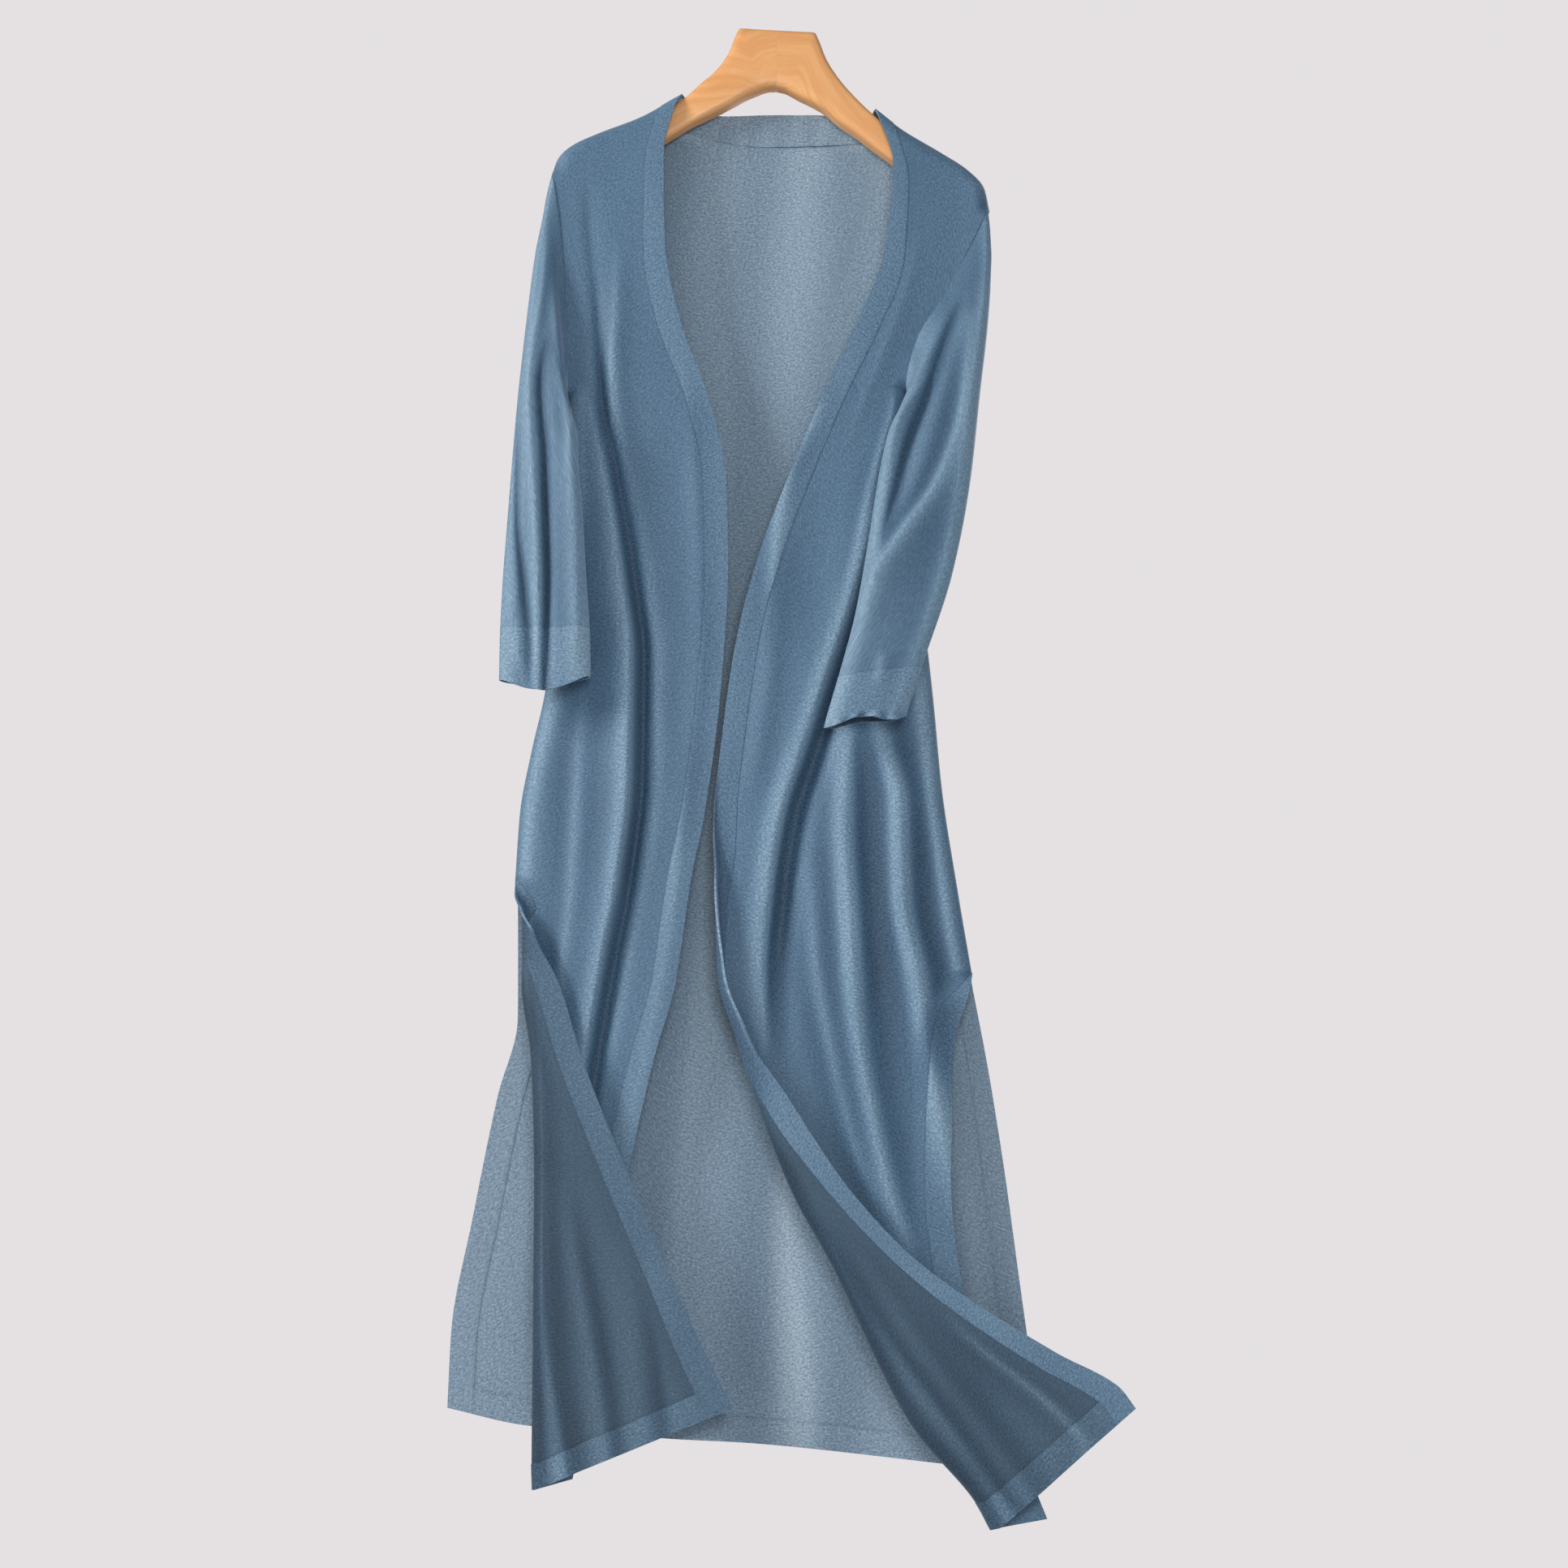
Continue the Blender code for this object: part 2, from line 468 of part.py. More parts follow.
def buildBack():
    part = np.concatenate([[0.0, 0.01, 0.03, 0.06], np.linspace(0.15, 0.9, 5), [0.96, 1.0],
                           np.linspace(1.06, 2.0, 12), np.linspace(2.08, 3.0, 12)])
    fine = backSheet(part)
    fixed = 12
    drop = lengths(np.swapaxes(fine, 0, 1))
    fine = np.swapaxes(fine, 0, 1)
    panel, foot = [], []
    for line, passed in zip(fine, drop):
        last = passed[-1] - HEM
        keep = passed.copy()
        squeeze = (last - SEAM / 2 - passed[fixed]) / (passed[-1] - passed[fixed])
        keep[fixed:] = passed[fixed] + (passed[fixed:] - passed[fixed]) * squeeze
        panel.append(walk(line, keep))
        foot.append(walk(line, np.array([last + SEAM / 2, passed[-1] - HEM / 2, passed[-1]])))
    panel = np.swapaxes(np.array(panel), 0, 1)
    foot = np.swapaxes(np.array(foot), 0, 1)
    gap = SEAM / 2
    slit = np.interp(2.0, part, lengths(fine[0]))
    low = np.interp(2.0, part, lengths(fine[-1]))

    def width(passed, begin):
        return SLIT_BAND * np.clip((passed - begin) / SLIT_TAPER, 0.0, 1.0)

    rightRun, leftRun = lengths(panel[:, 0]), lengths(panel[:, -1])
    place("back", across(panel, width(rightRun, slit) + EDGE, -(width(leftRun, low) + EDGE), cells(22, near=(0.014,), far=(0.014,))),
          material("back", knit, 0.85), KNIT)
    place("back_hem", across(foot, np.full(3, SLIT_BAND + gap), np.full(3, -(SLIT_BAND + gap)), cells(20)),
          material("back_hem", bandBlue, 0.9), DOUBLE)
    whole = np.concatenate([panel, foot])
    for name, column, begin in (("right", 0, slit), ("left", -1, low)):
        passed = lengths(whole[:, column])
        opened = passed > begin + 6
        wide = width(passed[opened], begin) - gap
        if name == "right":
            strip = across(whole[opened], np.full(opened.sum(), 0.01), wide, cells(2))
        else:
            strip = across(whole[opened], -wide, np.full(opened.sum(), -0.01), cells(2))
        place("back_%s_slit_band" % name, strip, material("back_%s_slit_band" % name, bandBlue, 0.9), DOUBLE)


buildBack()


def buildNeckBand():
    """Doubled band round the back of the neck, between the tops of the two front bands."""
    low = walk(byRow(NECK_SEAM), np.linspace(0, lengths(byRow(NECK_SEAM))[-1], 23))
    high = walk(byRow(NECK_EDGE), np.linspace(0, lengths(byRow(NECK_EDGE))[-1], 23))
    rows = []
    for share in (0.075, 0.35, 0.7, 1.0):
        line = low + share * (high - low)
        rows.append(np.column_stack([line[:, 0], HALF_DEPTH * bodyDepth(line) + APART, line[:, 1]]))
    points = np.array(rows)
    points = across(points, np.full(4, 0.8), np.full(4, -0.8), cells(22))
    place("neck_band", points, material("neck_band", bandBlue, 0.9), DOUBLE)


buildNeckBand()


def sleeveRings(rows, level, side, half):
    data = table(rows)
    spacing = (lengths(data[:, 0:2]) + lengths(data[:, 2:4])) / 2
    found = smooth(level, spacing, data)
    share = (1 - np.cos(np.pi * np.arange(half + 1) / half)) / 2
    arm = side[(side[:, 1] <= data[0, 1]) & (side[:, 1] >= data[0, 3])]
    seat = walk(arm, share * lengths(arm)[-1])
    bow = seat - (seat[0] + share[:, None] * (seat[-1] - seat[0]))
    rings = []
    for at, row in zip(level, found):
        outer, inner = row[0:2], row[2:4]
        line = outer + share[:, None] * (inner - outer) + bow * max(0.0, 1 - at / 60.0)
        shape = turning(np.linalg.norm(line - outer, axis=1)) * turning(np.linalg.norm(line - inner, axis=1))
        middle = row[4] + share * (row[5] - row[4])
        front = np.column_stack([line[:, 0], middle - row[6] * shape, line[:, 1]])
        back = np.column_stack([line[:, 0], middle + row[6] * shape, line[:, 1]])
        rings.append(np.vstack([front, back[::-1][1:]]))
    return np.array(rings), spacing


def buildSleeve(name, rows, side):
    data = table(rows)
    spacing = (lengths(data[:, 0:2]) + lengths(data[:, 2:4])) / 2
    cuffTop = spacing[-1] - CUFF
    level = np.concatenate([[ARM_EDGE], spacing[1:3], np.linspace(spacing[3], cuffTop - SEAM / 2, 10)])
    rings, _ = sleeveRings(rows, level, side, 12)
    place(name + "_sleeve", rings, material(name + "_sleeve", knit, 0.85), KNIT, closed=True)
    cuff, _ = sleeveRings(rows, np.linspace(cuffTop + SEAM / 2, spacing[-1], 4), side, 12)
    place(name + "_cuff", cuff, material(name + "_cuff", bandBlue, 0.9), DOUBLE, closed=True)


buildSleeve("right", SLEEVE_RIGHT, sideRight)
buildSleeve("left", SLEEVE_LEFT, sideLeft)


def buildHanger(name, rows, joint):
    data = table(rows)
    spacing = lengths((data[:, 0:2] + data[:, 2:4]) / 2)
    level = np.linspace(0, spacing[-1], 19)
    found = smooth(level, spacing, data)
    turn = np.linspace(0, 2 * np.pi, 17)
    rings = []
    for row in found:
        upper, lower = row[0:2], row[2:4]
        centre, reach = (upper + lower) / 2, (upper - lower) / 2
        up = np.sign(np.cos(turn)) * np.abs(np.cos(turn)) ** 0.6
        side = np.sign(np.sin(turn)) * np.abs(np.sin(turn)) ** 0.6
        rings.append(np.column_stack([centre[0] + up * reach[0], side * row[4] * -joint, centre[1] + up * reach[1]]))
    points = np.array(rings)
    points[0, :, 0] = joint * SEAM / 2
    piece = place(name, points, material(name, (0.60, 0.32, 0.13), 0.4), 0.0, closed=True)
    return piece


buildHanger("hanger_right_half", HANGER_RIGHT, -1)
buildHanger("hanger_left_half", HANGER_LEFT, 1)
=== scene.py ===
import math

import bpy
import numpy as np
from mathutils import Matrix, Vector


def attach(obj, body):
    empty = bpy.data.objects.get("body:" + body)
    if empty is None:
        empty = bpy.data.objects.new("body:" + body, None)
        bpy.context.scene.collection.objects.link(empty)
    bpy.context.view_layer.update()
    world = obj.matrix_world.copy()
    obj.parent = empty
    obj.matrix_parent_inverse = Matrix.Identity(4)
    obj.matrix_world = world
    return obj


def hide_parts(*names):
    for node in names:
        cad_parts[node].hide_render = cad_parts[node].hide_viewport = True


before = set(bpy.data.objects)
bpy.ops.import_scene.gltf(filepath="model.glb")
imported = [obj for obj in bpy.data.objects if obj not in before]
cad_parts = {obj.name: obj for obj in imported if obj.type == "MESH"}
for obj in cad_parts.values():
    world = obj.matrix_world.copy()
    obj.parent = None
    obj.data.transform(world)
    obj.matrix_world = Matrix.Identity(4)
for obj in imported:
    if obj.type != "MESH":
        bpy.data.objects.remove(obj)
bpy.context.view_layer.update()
print("frame loaded")

# Lengths in the tables are millimetres: x to the wearer's left, z up, y to the back.
metre = 0.001

# The camera stands where the photo's did, and the lights give the photo's bright and dark sides.
view = {"place": (0.0066, -2.7388, -1.2781), "target": (0.0066, 0.0, -0.696), "lens": 74.56, "sensor": 36.0,
        "far": 60.0}
lampTarget = (0.0, 0.0, -0.6)
lamps = {
    "keySoft": {"place": (-2.4, -1.25, 0.5), "size": (0.7, 1.4), "power": 60.0, "colour": (1.0, 0.985, 0.96)},
    "frontSoft": {"place": (0.2, -2.7, -0.55), "size": (0.8, 0.8), "power": 27.0, "colour": (0.96, 0.98, 1.0)},
    "backSoft": {"place": (0.6, 2.2, 0.4), "size": (1.6, 1.6), "power": 22.0, "colour": (1.0, 1.0, 1.0)}}
room = {"seen": (0.783, 0.753, 0.767, 1.0), "air": (0.80, 0.83, 0.88, 1.0), "strength": 0.32}
floorDisc = {"radius": 2.4, "level": -1.47, "corners": 96, "colour": (0.78, 0.76, 0.765, 1.0), "rough": 0.9,
             "fadeFrom": 1.2, "fadeTo": 2.35}


def deselect():
    for item in bpy.context.selected_objects:
        item.select_set(False)


def towards(place, target):
    # rotation that points a camera or a lamp at its target
    return (Vector(target) - Vector(place)).to_track_quat("-Z", "Y").to_euler()


def setCamera():
    deselect()
    bpy.ops.object.camera_add(location=view["place"], rotation=towards(view["place"], view["target"]))
    camera = bpy.context.object
    camera.data.lens = view["lens"]
    camera.data.sensor_width = view["sensor"]
    camera.data.clip_end = view["far"]
    bpy.context.scene.camera = camera


def addLamp(name, item):
    deselect()
    bpy.ops.object.light_add(type="AREA", location=item["place"], rotation=towards(item["place"], lampTarget))
    lamp = bpy.context.object
    lamp.name = name
    lamp.data.shape = "RECTANGLE"
    lamp.data.size, lamp.data.size_y = item["size"]
    lamp.data.energy = item["power"]
    lamp.data.color = item["colour"]


def setLight():
    # the pale wall is seen by the camera alone; a dimmer, cooler air lights the cloth
    for name, item in lamps.items():
        addLamp(name, item)
    world = bpy.data.worlds.new("paleRoom")
    bpy.context.scene.world = world
    world.use_nodes = True
    nodes, links = world.node_tree.nodes, world.node_tree.links
    nodes.clear()
    seen = nodes.new("ShaderNodeBackground")
    seen.inputs["Color"].default_value = room["seen"]
    air = nodes.new("ShaderNodeBackground")
    air.inputs["Color"].default_value = room["air"]
    air.inputs["Strength"].default_value = room["strength"]
    ray = nodes.new("ShaderNodeLightPath")
    mix = nodes.new("ShaderNodeMixShader")
    out = nodes.new("ShaderNodeOutputWorld")
    links.new(ray.outputs["Is Camera Ray"], mix.inputs[0])
    links.new(air.outputs[0], mix.inputs[1])
    links.new(seen.outputs[0], mix.inputs[2])
    links.new(mix.outputs[0], out.inputs["Surface"])
    look = bpy.context.scene.view_settings
    look.view_transform = "Standard"
    look.look = "None"


def startLook(name):
    made = bpy.data.materials.new(name)
    made.use_nodes = True
    nodes, links = made.node_tree.nodes, made.node_tree.links
    return made, nodes, links, nodes["Principled BSDF"]


def setFloor():
    # a pale disc that fades out towards its rim
    deselect()
    bpy.ops.mesh.primitive_circle_add(vertices=floorDisc["corners"], radius=floorDisc["radius"], fill_type="NGON",
                                      location=(0, 0, floorDisc["level"]))
    floor = bpy.context.object
    floor.name = "paleFloor"
    made, nodes, links, shader = startLook("paleFloor")
    shader.inputs["Base Color"].default_value = floorDisc["colour"]
    shader.inputs["Roughness"].default_value = floorDisc["rough"]
    where = nodes.new("ShaderNodeTexCoord")
    far = nodes.new("ShaderNodeVectorMath")
    far.operation = "LENGTH"
    fade = nodes.new("ShaderNodeMapRange")
    fade.inputs["From Min"].default_value = floorDisc["fadeFrom"]
    fade.inputs["From Max"].default_value = floorDisc["fadeTo"]
    fade.inputs["To Min"].default_value = 1.0
    fade.inputs["To Max"].default_value = 0.0
    links.new(where.outputs["Object"], far.inputs[0])
    links.new(far.outputs["Value"], fade.inputs["Value"])
    links.new(fade.outputs["Result"], shader.inputs["Alpha"])
    floor.data.materials.append(made)


setCamera()
setLight()
setFloor()
print("camera, light and floor set")


def table(rows):
    return np.array(rows[1:], float)


def smooth(at, knots, values):
    # monotone cubic through the rows of a table
    at, knots, values = (np.asarray(item, float) for item in (at, knots, values))
    flat = values.ndim == 1
    if flat:
        values = values[:, None]
    step = np.diff(knots)[:, None]
    slope = np.diff(values, axis=0) / step
    tangent = np.zeros_like(values)
    tangent[0], tangent[-1] = slope[0], slope[-1]
    before, after = slope[:-1], slope[1:]
    same = before * after > 0
    tangent[1:-1] = np.where(same, 2 * before * after / np.where(same, before + after, 1.0), 0.0)
    cell = np.clip(np.searchsorted(knots, at, side="right") - 1, 0, len(knots) - 2)
    width = step[cell]
    part = np.clip((at - knots[cell])[:, None] / width, 0.0, 1.0)
    found = (values[cell] * (1 + 2 * part) * (1 - part) ** 2 + tangent[cell] * width * part * (1 - part) ** 2
             + values[cell + 1] * part ** 2 * (3 - 2 * part) + tangent[cell + 1] * width * part ** 2 * (part - 1))
    return found[:, 0] if flat else found


def lengths(points):
    # distance walked along each row of points
    walked = np.linalg.norm(np.diff(points, axis=-2), axis=-1)
    return np.concatenate([np.zeros_like(walked[..., :1]), np.cumsum(walked, axis=-1)], axis=-1)


def walk(points, distance):
    passed = lengths(points)
    return np.stack([np.interp(distance, passed, points[:, axis]) for axis in range(points.shape[1])], axis=-1)


def byHeight(rows):
    data = table(rows)
    level = np.linspace(data[0, 0], data[-1, 0], 160)
    return np.stack([smooth(-level, -data[:, 0], data[:, 1]), level], axis=-1)


def byRow(rows):
    data = table(rows)
    passed = lengths(data)
    return smooth(np.linspace(0, passed[-1], 160), passed, data)


def apart(points, line):
    # shortest distance in the front view from each point to a line
    nearest = np.full(points.shape[:-1], 1e6)
    for start, end in zip(line[:-1], line[1:]):
        run = end - start
        part = np.clip(((points - start) @ run) / (run @ run), 0.0, 1.0)
        nearest = np.minimum(nearest, np.linalg.norm(points - (start + part[..., None] * run), axis=-1))
    return nearest


def turning(distance, reach=14.0):
    # a quarter of an ellipse: 0 on the seam, 1 from the given distance inward
    part = np.clip(distance / reach, 0.0, 1.0)
    return np.sqrt(1 - (1 - part) ** 2)


def blend(value, low, high):
    part = np.clip((value - low) / (high - low), 0.0, 1.0)
    return part * part * (3 - 2 * part)


def spacingOf(data):
    # how far down each row of a table lies: the mean of the ways along its first two edges
    return (lengths(data[:, 0:2]) + lengths(data[:, 2:4])) / 2


def wander(x, z, seed, size):
    # slow uneven swell between about -1 and 1, the same each time; size is the usual wavelength
    rng = np.random.default_rng(seed)
    total = 0.0
    for _ in range(5):
        angle, phase = rng.uniform(0, 2 * np.pi, 2)
        long = size * rng.uniform(0.6, 1.7)
        total = total + np.sin((x * np.cos(angle) + z * 0.45 * np.sin(angle)) * 2 * np.pi / long + phase)
    return total / 3.2


foldEnds = {"above": 30.0, "below": 45.0, "inside": 2.0, "hollowAt": 2.2, "hollowWide": 1.3}


def fold(points, left, right, hollow, line):
    # one soft fold; line has rows of z, x and height along its crest
    data = np.array(line, float)
    top, foot = data[0, 0], data[-1, 0]
    level = np.clip(points[..., 1], foot, top)
    crest = smooth(-level.ravel(), -data[:, 0], data[:, 1:]).reshape(level.shape + (2,))
    side = points[..., 0] - crest[..., 0]
    width = np.where(side < 0, left, right)
    fade = (blend(points[..., 1], foot - foldEnds["below"], foot - foldEnds["inside"])
            * (1 - blend(points[..., 1], top - foldEnds["inside"], top + foldEnds["above"])))
    bump = np.exp(-np.abs(side / width) ** 1.6)
    beside = (side - right * foldEnds["hollowAt"]) / (right * foldEnds["hollowWide"])
    return crest[..., 1] * (bump - hollow * np.exp(-beside ** 2)) * fade


def gridNormals(points):
    down = np.gradient(points, axis=0)
    over = np.gradient(points, axis=1)
    normal = np.cross(over, down)
    return normal / np.maximum(np.linalg.norm(normal, axis=-1, keepdims=True), 1e-9)


def soften(points, reach):
    # running mean along each line
    padded = np.concatenate([np.repeat(points[:, :1], reach, 1), points, np.repeat(points[:, -1:], reach + 1, 1)], 1)
    total = np.cumsum(padded, axis=1)
    total = np.concatenate([np.zeros_like(total[:, :1]), total], 1)
    count, width = points.shape[1], 2 * reach + 1
    return (total[:, width:width + count] - total[:, :count]) / width


def seamMark(shape, seams):
    # how near a point is to a sewn edge, 1 on it and 0 from a few rows inward
    tall, wide = shape
    down, over = np.arange(tall)[:, None] * np.ones(wide), np.ones(tall)[:, None] * np.arange(wide)
    near = np.full(shape, 99.0)
    if seams in ("all", "top", "ends"):
        near = np.minimum(near, down)
    if seams in ("all", "ends"):
        near = np.minimum(near, tall - 1 - down)
    if seams in ("all", "first"):
        near = np.minimum(near, over)
    if seams in ("all", "last"):
        near = np.minimum(near, wide - 1 - over)
    return np.clip(1 - near, 0.0, 1.0)


# settings for the painted fold light: painted highlight on fold crests, painted shade in their hollows
relief = {"near": 4, "far": 11, "gain": 1.1, "edgeFrom": 1.0, "edgeTo": 12.0}


def paintedFoldLight(points, fades):
    # how far each point stands out of the cloth around it, held between -1 and 1; it fades near the side edges. It
    # paints highlight on fold crests and shade in their hollows
    around = (soften(points, relief["near"]) + soften(points, relief["far"])) / 2
    raised = np.tanh(((points - around) * gridNormals(points)).sum(-1) * relief["gain"])
    if not fades:
        return raised
    wide = points.shape[1]
    edge = np.minimum(np.arange(wide), wide - 1 - np.arange(wide))
    return raised * blend(edge, relief["edgeFrom"], relief["edgeTo"])


def makeCloth(name, points, wall, looks, seams, flip=False, closed=False, shift=(0.0, 0.0)):
    # a grid laid on the given rows, then thickened; looks are the outer and the inner finish
    tall, wide = points.shape[:2]
    deselect()
    bpy.ops.mesh.primitive_grid_add(x_subdivisions=wide - 1, y_subdivisions=tall - 1, size=1.0, location=(0, 0, 0))
    piece = bpy.context.object
    piece.name = piece.data.name = name
    mesh = piece.data
    mesh.vertices.foreach_set("co", (points.reshape(-1, 3) * metre).astype(np.float32).ravel())
    # the crest attribute paints highlight on fold crests and shade in their hollows; seam marks the sewn edges
    raised = paintedFoldLight(points, seams == "all") * (-1 if flip else 1)
    for kind, value in (("crest", raised), ("seam", seamMark((tall, wide), seams))):
        mark = mesh.attributes.new(kind, "FLOAT", "POINT")
        mark.data.foreach_set("value", value.astype(np.float32).ravel())
    over, down = lengths(points), lengths(np.swapaxes(points, 0, 1)).T
    middle = 0.0 if closed else over[:, wide // 2][:, None]
    flat = np.stack([(over - middle) * metre + shift[0], down * metre + shift[1]], axis=-1).reshape(-1, 2)
    corner = np.zeros(len(mesh.loops), np.int32)
    mesh.loops.foreach_get("vertex_index", corner)
    mesh.uv_layers[0].data.foreach_set("uv", flat[corner].astype(np.float32).ravel())
    mesh.update()
    if flip:
        mesh.flip_normals()
    for look in looks:
        mesh.materials.append(look)
    if closed:
        bpy.ops.object.mode_set(mode="EDIT")
        bpy.ops.mesh.select_all(action="SELECT")
        bpy.ops.mesh.remove_doubles(threshold=0.00001)
        if not wall:
            bpy.ops.mesh.select_all(action="SELECT")
            bpy.ops.mesh.fill_holes(sides=0)
            bpy.ops.mesh.select_all(action="SELECT")
            bpy.ops.mesh.normals_make_consistent(inside=False)
        bpy.ops.object.mode_set(mode="OBJECT")
    if wall:
        thick = piece.modifiers.new("wall", "SOLIDIFY")
        thick.thickness = wall * metre
        thick.offset = 0.0
        thick.material_offset = 1
        bpy.ops.object.modifier_apply(modifier="wall")
    bpy.ops.object.shade_smooth_by_angle(angle=math.radians(50))
    return piece


def settle(piece, node):
    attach(piece, "root")
    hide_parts(node)


def noiseAt(nodes, links, source, scale, stretch, detail, rough=0.55):
    # scale counts grains to the metre; stretch multiplies them across and down the cloth
    mapped = nodes.new("ShaderNodeMapping")
    mapped.inputs["Scale"].default_value = (stretch[0], stretch[1], 1.0)
    noise = nodes.new("ShaderNodeTexNoise")
    noise.inputs["Scale"].default_value = scale
    noise.inputs["Detail"].default_value = detail
    noise.inputs["Roughness"].default_value = rough
    links.new(source, mapped.inputs["Vector"])
    links.new(mapped.outputs["Vector"], noise.inputs["Vector"])
    return noise.outputs["Fac"]


def sumOf(nodes, links, first, second, share):
    # first + second * share
    node = nodes.new("ShaderNodeMath")
    node.operation = "MULTIPLY_ADD"
    node.inputs[1].default_value = share
    links.new(second, node.inputs[0])
    links.new(first, node.inputs[2])
    return node.outputs[0]


def rampOf(nodes, links, source, stops):
    ramp = nodes.new("ShaderNodeValToRGB")
    while len(ramp.color_ramp.elements) < len(stops):
        ramp.color_ramp.elements.new(0.5)
    for element, (at, colour) in zip(ramp.color_ramp.elements, stops):
        element.position = at
        element.color = (*colour, 1.0)
    links.new(source, ramp.inputs["Fac"])
    return ramp.outputs["Color"]


def markOf(nodes, name):
    # a value that makeCloth keeps on the points of the mesh
    mark = nodes.new("ShaderNodeAttribute")
    mark.attribute_name = name
    return mark.outputs["Fac"]


def rangeOf(nodes, links, source, fromLow, fromHigh, toLow=0.0, toHigh=1.0):
    node = nodes.new("ShaderNodeMapRange")
    for name, value in (("From Min", fromLow), ("From Max", fromHigh), ("To Min", toLow), ("To Max", toHigh)):
        node.inputs[name].default_value = value
    links.new(source, node.inputs["Value"])
    return node.outputs["Result"]


def addBump(nodes, links, shader, height, strength, distance):
    raised = nodes.new("ShaderNodeBump")
    raised.inputs["Strength"].default_value = strength
    raised.inputs["Distance"].default_value = distance
    links.new(height, raised.inputs["Height"])
    links.new(raised.outputs["Normal"], shader.inputs["Normal"])


# scales, stretches and details of the knit's three patterns, and what a seam takes off tone and height
knit = {"loops": (460.0, (1.0, 1.25), 1.5, 0.6), "courses": (420.0, (0.35, 1.6), 1.0),
        "clouds": (13.0, (1.4, 0.5), 3.0), "seamTone": -0.07, "seamHeight": -0.35, "courseHeight": 0.6,
        "relief": 0.0006, "cloudGloss": 0.5, "specular": 0.38, "sheenRough": 0.45, "sheenTint": (0.62, 0.76, 0.92, 1.0)}


def knitLook(name, tones, grain=1.05, rows=0.25, cloud=0.30, crest=0.36, bump=0.6, sheen=0.35, rough=0.58):
    # tones run from the painted shade of a fold's hollow to the painted highlight of its crest; crest is that share,
    # grain, rows and cloud the shares of the three patterns
    made, nodes, links, shader = startLook(name)
    where = nodes.new("ShaderNodeTexCoord").outputs["UV"]
    loops, courses, clouds = (noiseAt(nodes, links, where, *knit[kind]) for kind in ("loops", "courses", "clouds"))
    raised, seam = markOf(nodes, "crest"), markOf(nodes, "seam")
    # painted highlight on fold crests and painted shade in their hollows, taken from the crest attribute
    tone = sumOf(nodes, links, raised, raised, crest - 1.0)
    for pattern, share in ((loops, grain), (courses, rows), (clouds, cloud), (seam, knit["seamTone"])):
        tone = sumOf(nodes, links, tone, pattern, share)
    level = nodes.new("ShaderNodeMath")
    level.operation = "ADD"
    level.inputs[1].default_value = 0.5 - (grain + rows + cloud) / 2
    links.new(tone, level.inputs[0])
    links.new(rampOf(nodes, links, level.outputs[0], tones), shader.inputs["Base Color"])
    height = sumOf(nodes, links, loops, courses, knit["courseHeight"])
    height = sumOf(nodes, links, height, seam, knit["seamHeight"])
    addBump(nodes, links, shader, height, bump, knit["relief"])
    gloss = sumOf(nodes, links, loops, clouds, knit["cloudGloss"])
    links.new(rangeOf(nodes, links, gloss, 0.3, 1.2, rough - 0.08, rough + 0.10), shader.inputs["Roughness"])
    shader.inputs["Specular IOR Level"].default_value = knit["specular"]
    shader.inputs["Sheen Weight"].default_value = sheen
    shader.inputs["Sheen Roughness"].default_value = knit["sheenRough"]
    shader.inputs["Sheen Tint"].default_value = knit["sheenTint"]
    return made


wood = {"grain": (60.0, (3.2, 0.22), 3.0), "bands": (18.0, (2.4, 0.2), 2.0), "pores": (420.0, (1.6, 0.22), 2.0),
        "tones": ((0.0, (0.72, 0.315, 0.108)), (0.42, (0.80, 0.375, 0.140)), (0.66, (0.85, 0.425, 0.170)),
                  (1.0, (0.90, 0.480, 0.210))),
        "finish": {"Roughness": 0.42, "Specular IOR Level": 0.4, "Coat Weight": 0.12, "Coat Roughness": 0.3}}


def woodLook(name):
    made, nodes, links, shader = startLook(name)
    where = nodes.new("ShaderNodeTexCoord").outputs["UV"]
    grain, bands, pores = (noiseAt(nodes, links, where, *wood[kind]) for kind in ("grain", "bands", "pores"))
    tone = sumOf(nodes, links, grain, bands, 0.7)
    tone = sumOf(nodes, links, tone, pores, 0.25)
    level = rangeOf(nodes, links, tone, 0.55, 1.35)
    links.new(rampOf(nodes, links, level, wood["tones"]), shader.inputs["Base Color"])
    addBump(nodes, links, shader, tone, 0.12, 0.0004)
    for kind, value in wood["finish"].items():
        shader.inputs[kind].default_value = value
    return made


# each ramp's dark end is painted shade for fold hollows and its light end painted highlight for crests; the knit's own
# grain and clouds run along it too
outerTones = ((0.0, (0.020, 0.050, 0.092)), (0.32, (0.053, 0.117, 0.193)), (0.55, (0.088, 0.168, 0.258)),
              (0.80, (0.150, 0.252, 0.356)), (1.0, (0.262, 0.388, 0.494)))
bandTones = ((0.0, (0.034, 0.076, 0.130)), (0.32, (0.074, 0.148, 0.232)), (0.55, (0.118, 0.208, 0.305)),
             (0.80, (0.185, 0.292, 0.395)), (1.0, (0.290, 0.410, 0.510)))
innerTones = ((0.0, (0.012, 0.031, 0.056)), (0.32, (0.028, 0.062, 0.102)), (0.55, (0.046, 0.092, 0.141)),
              (0.80, (0.080, 0.138, 0.197)), (1.0, (0.146, 0.222, 0.293)))
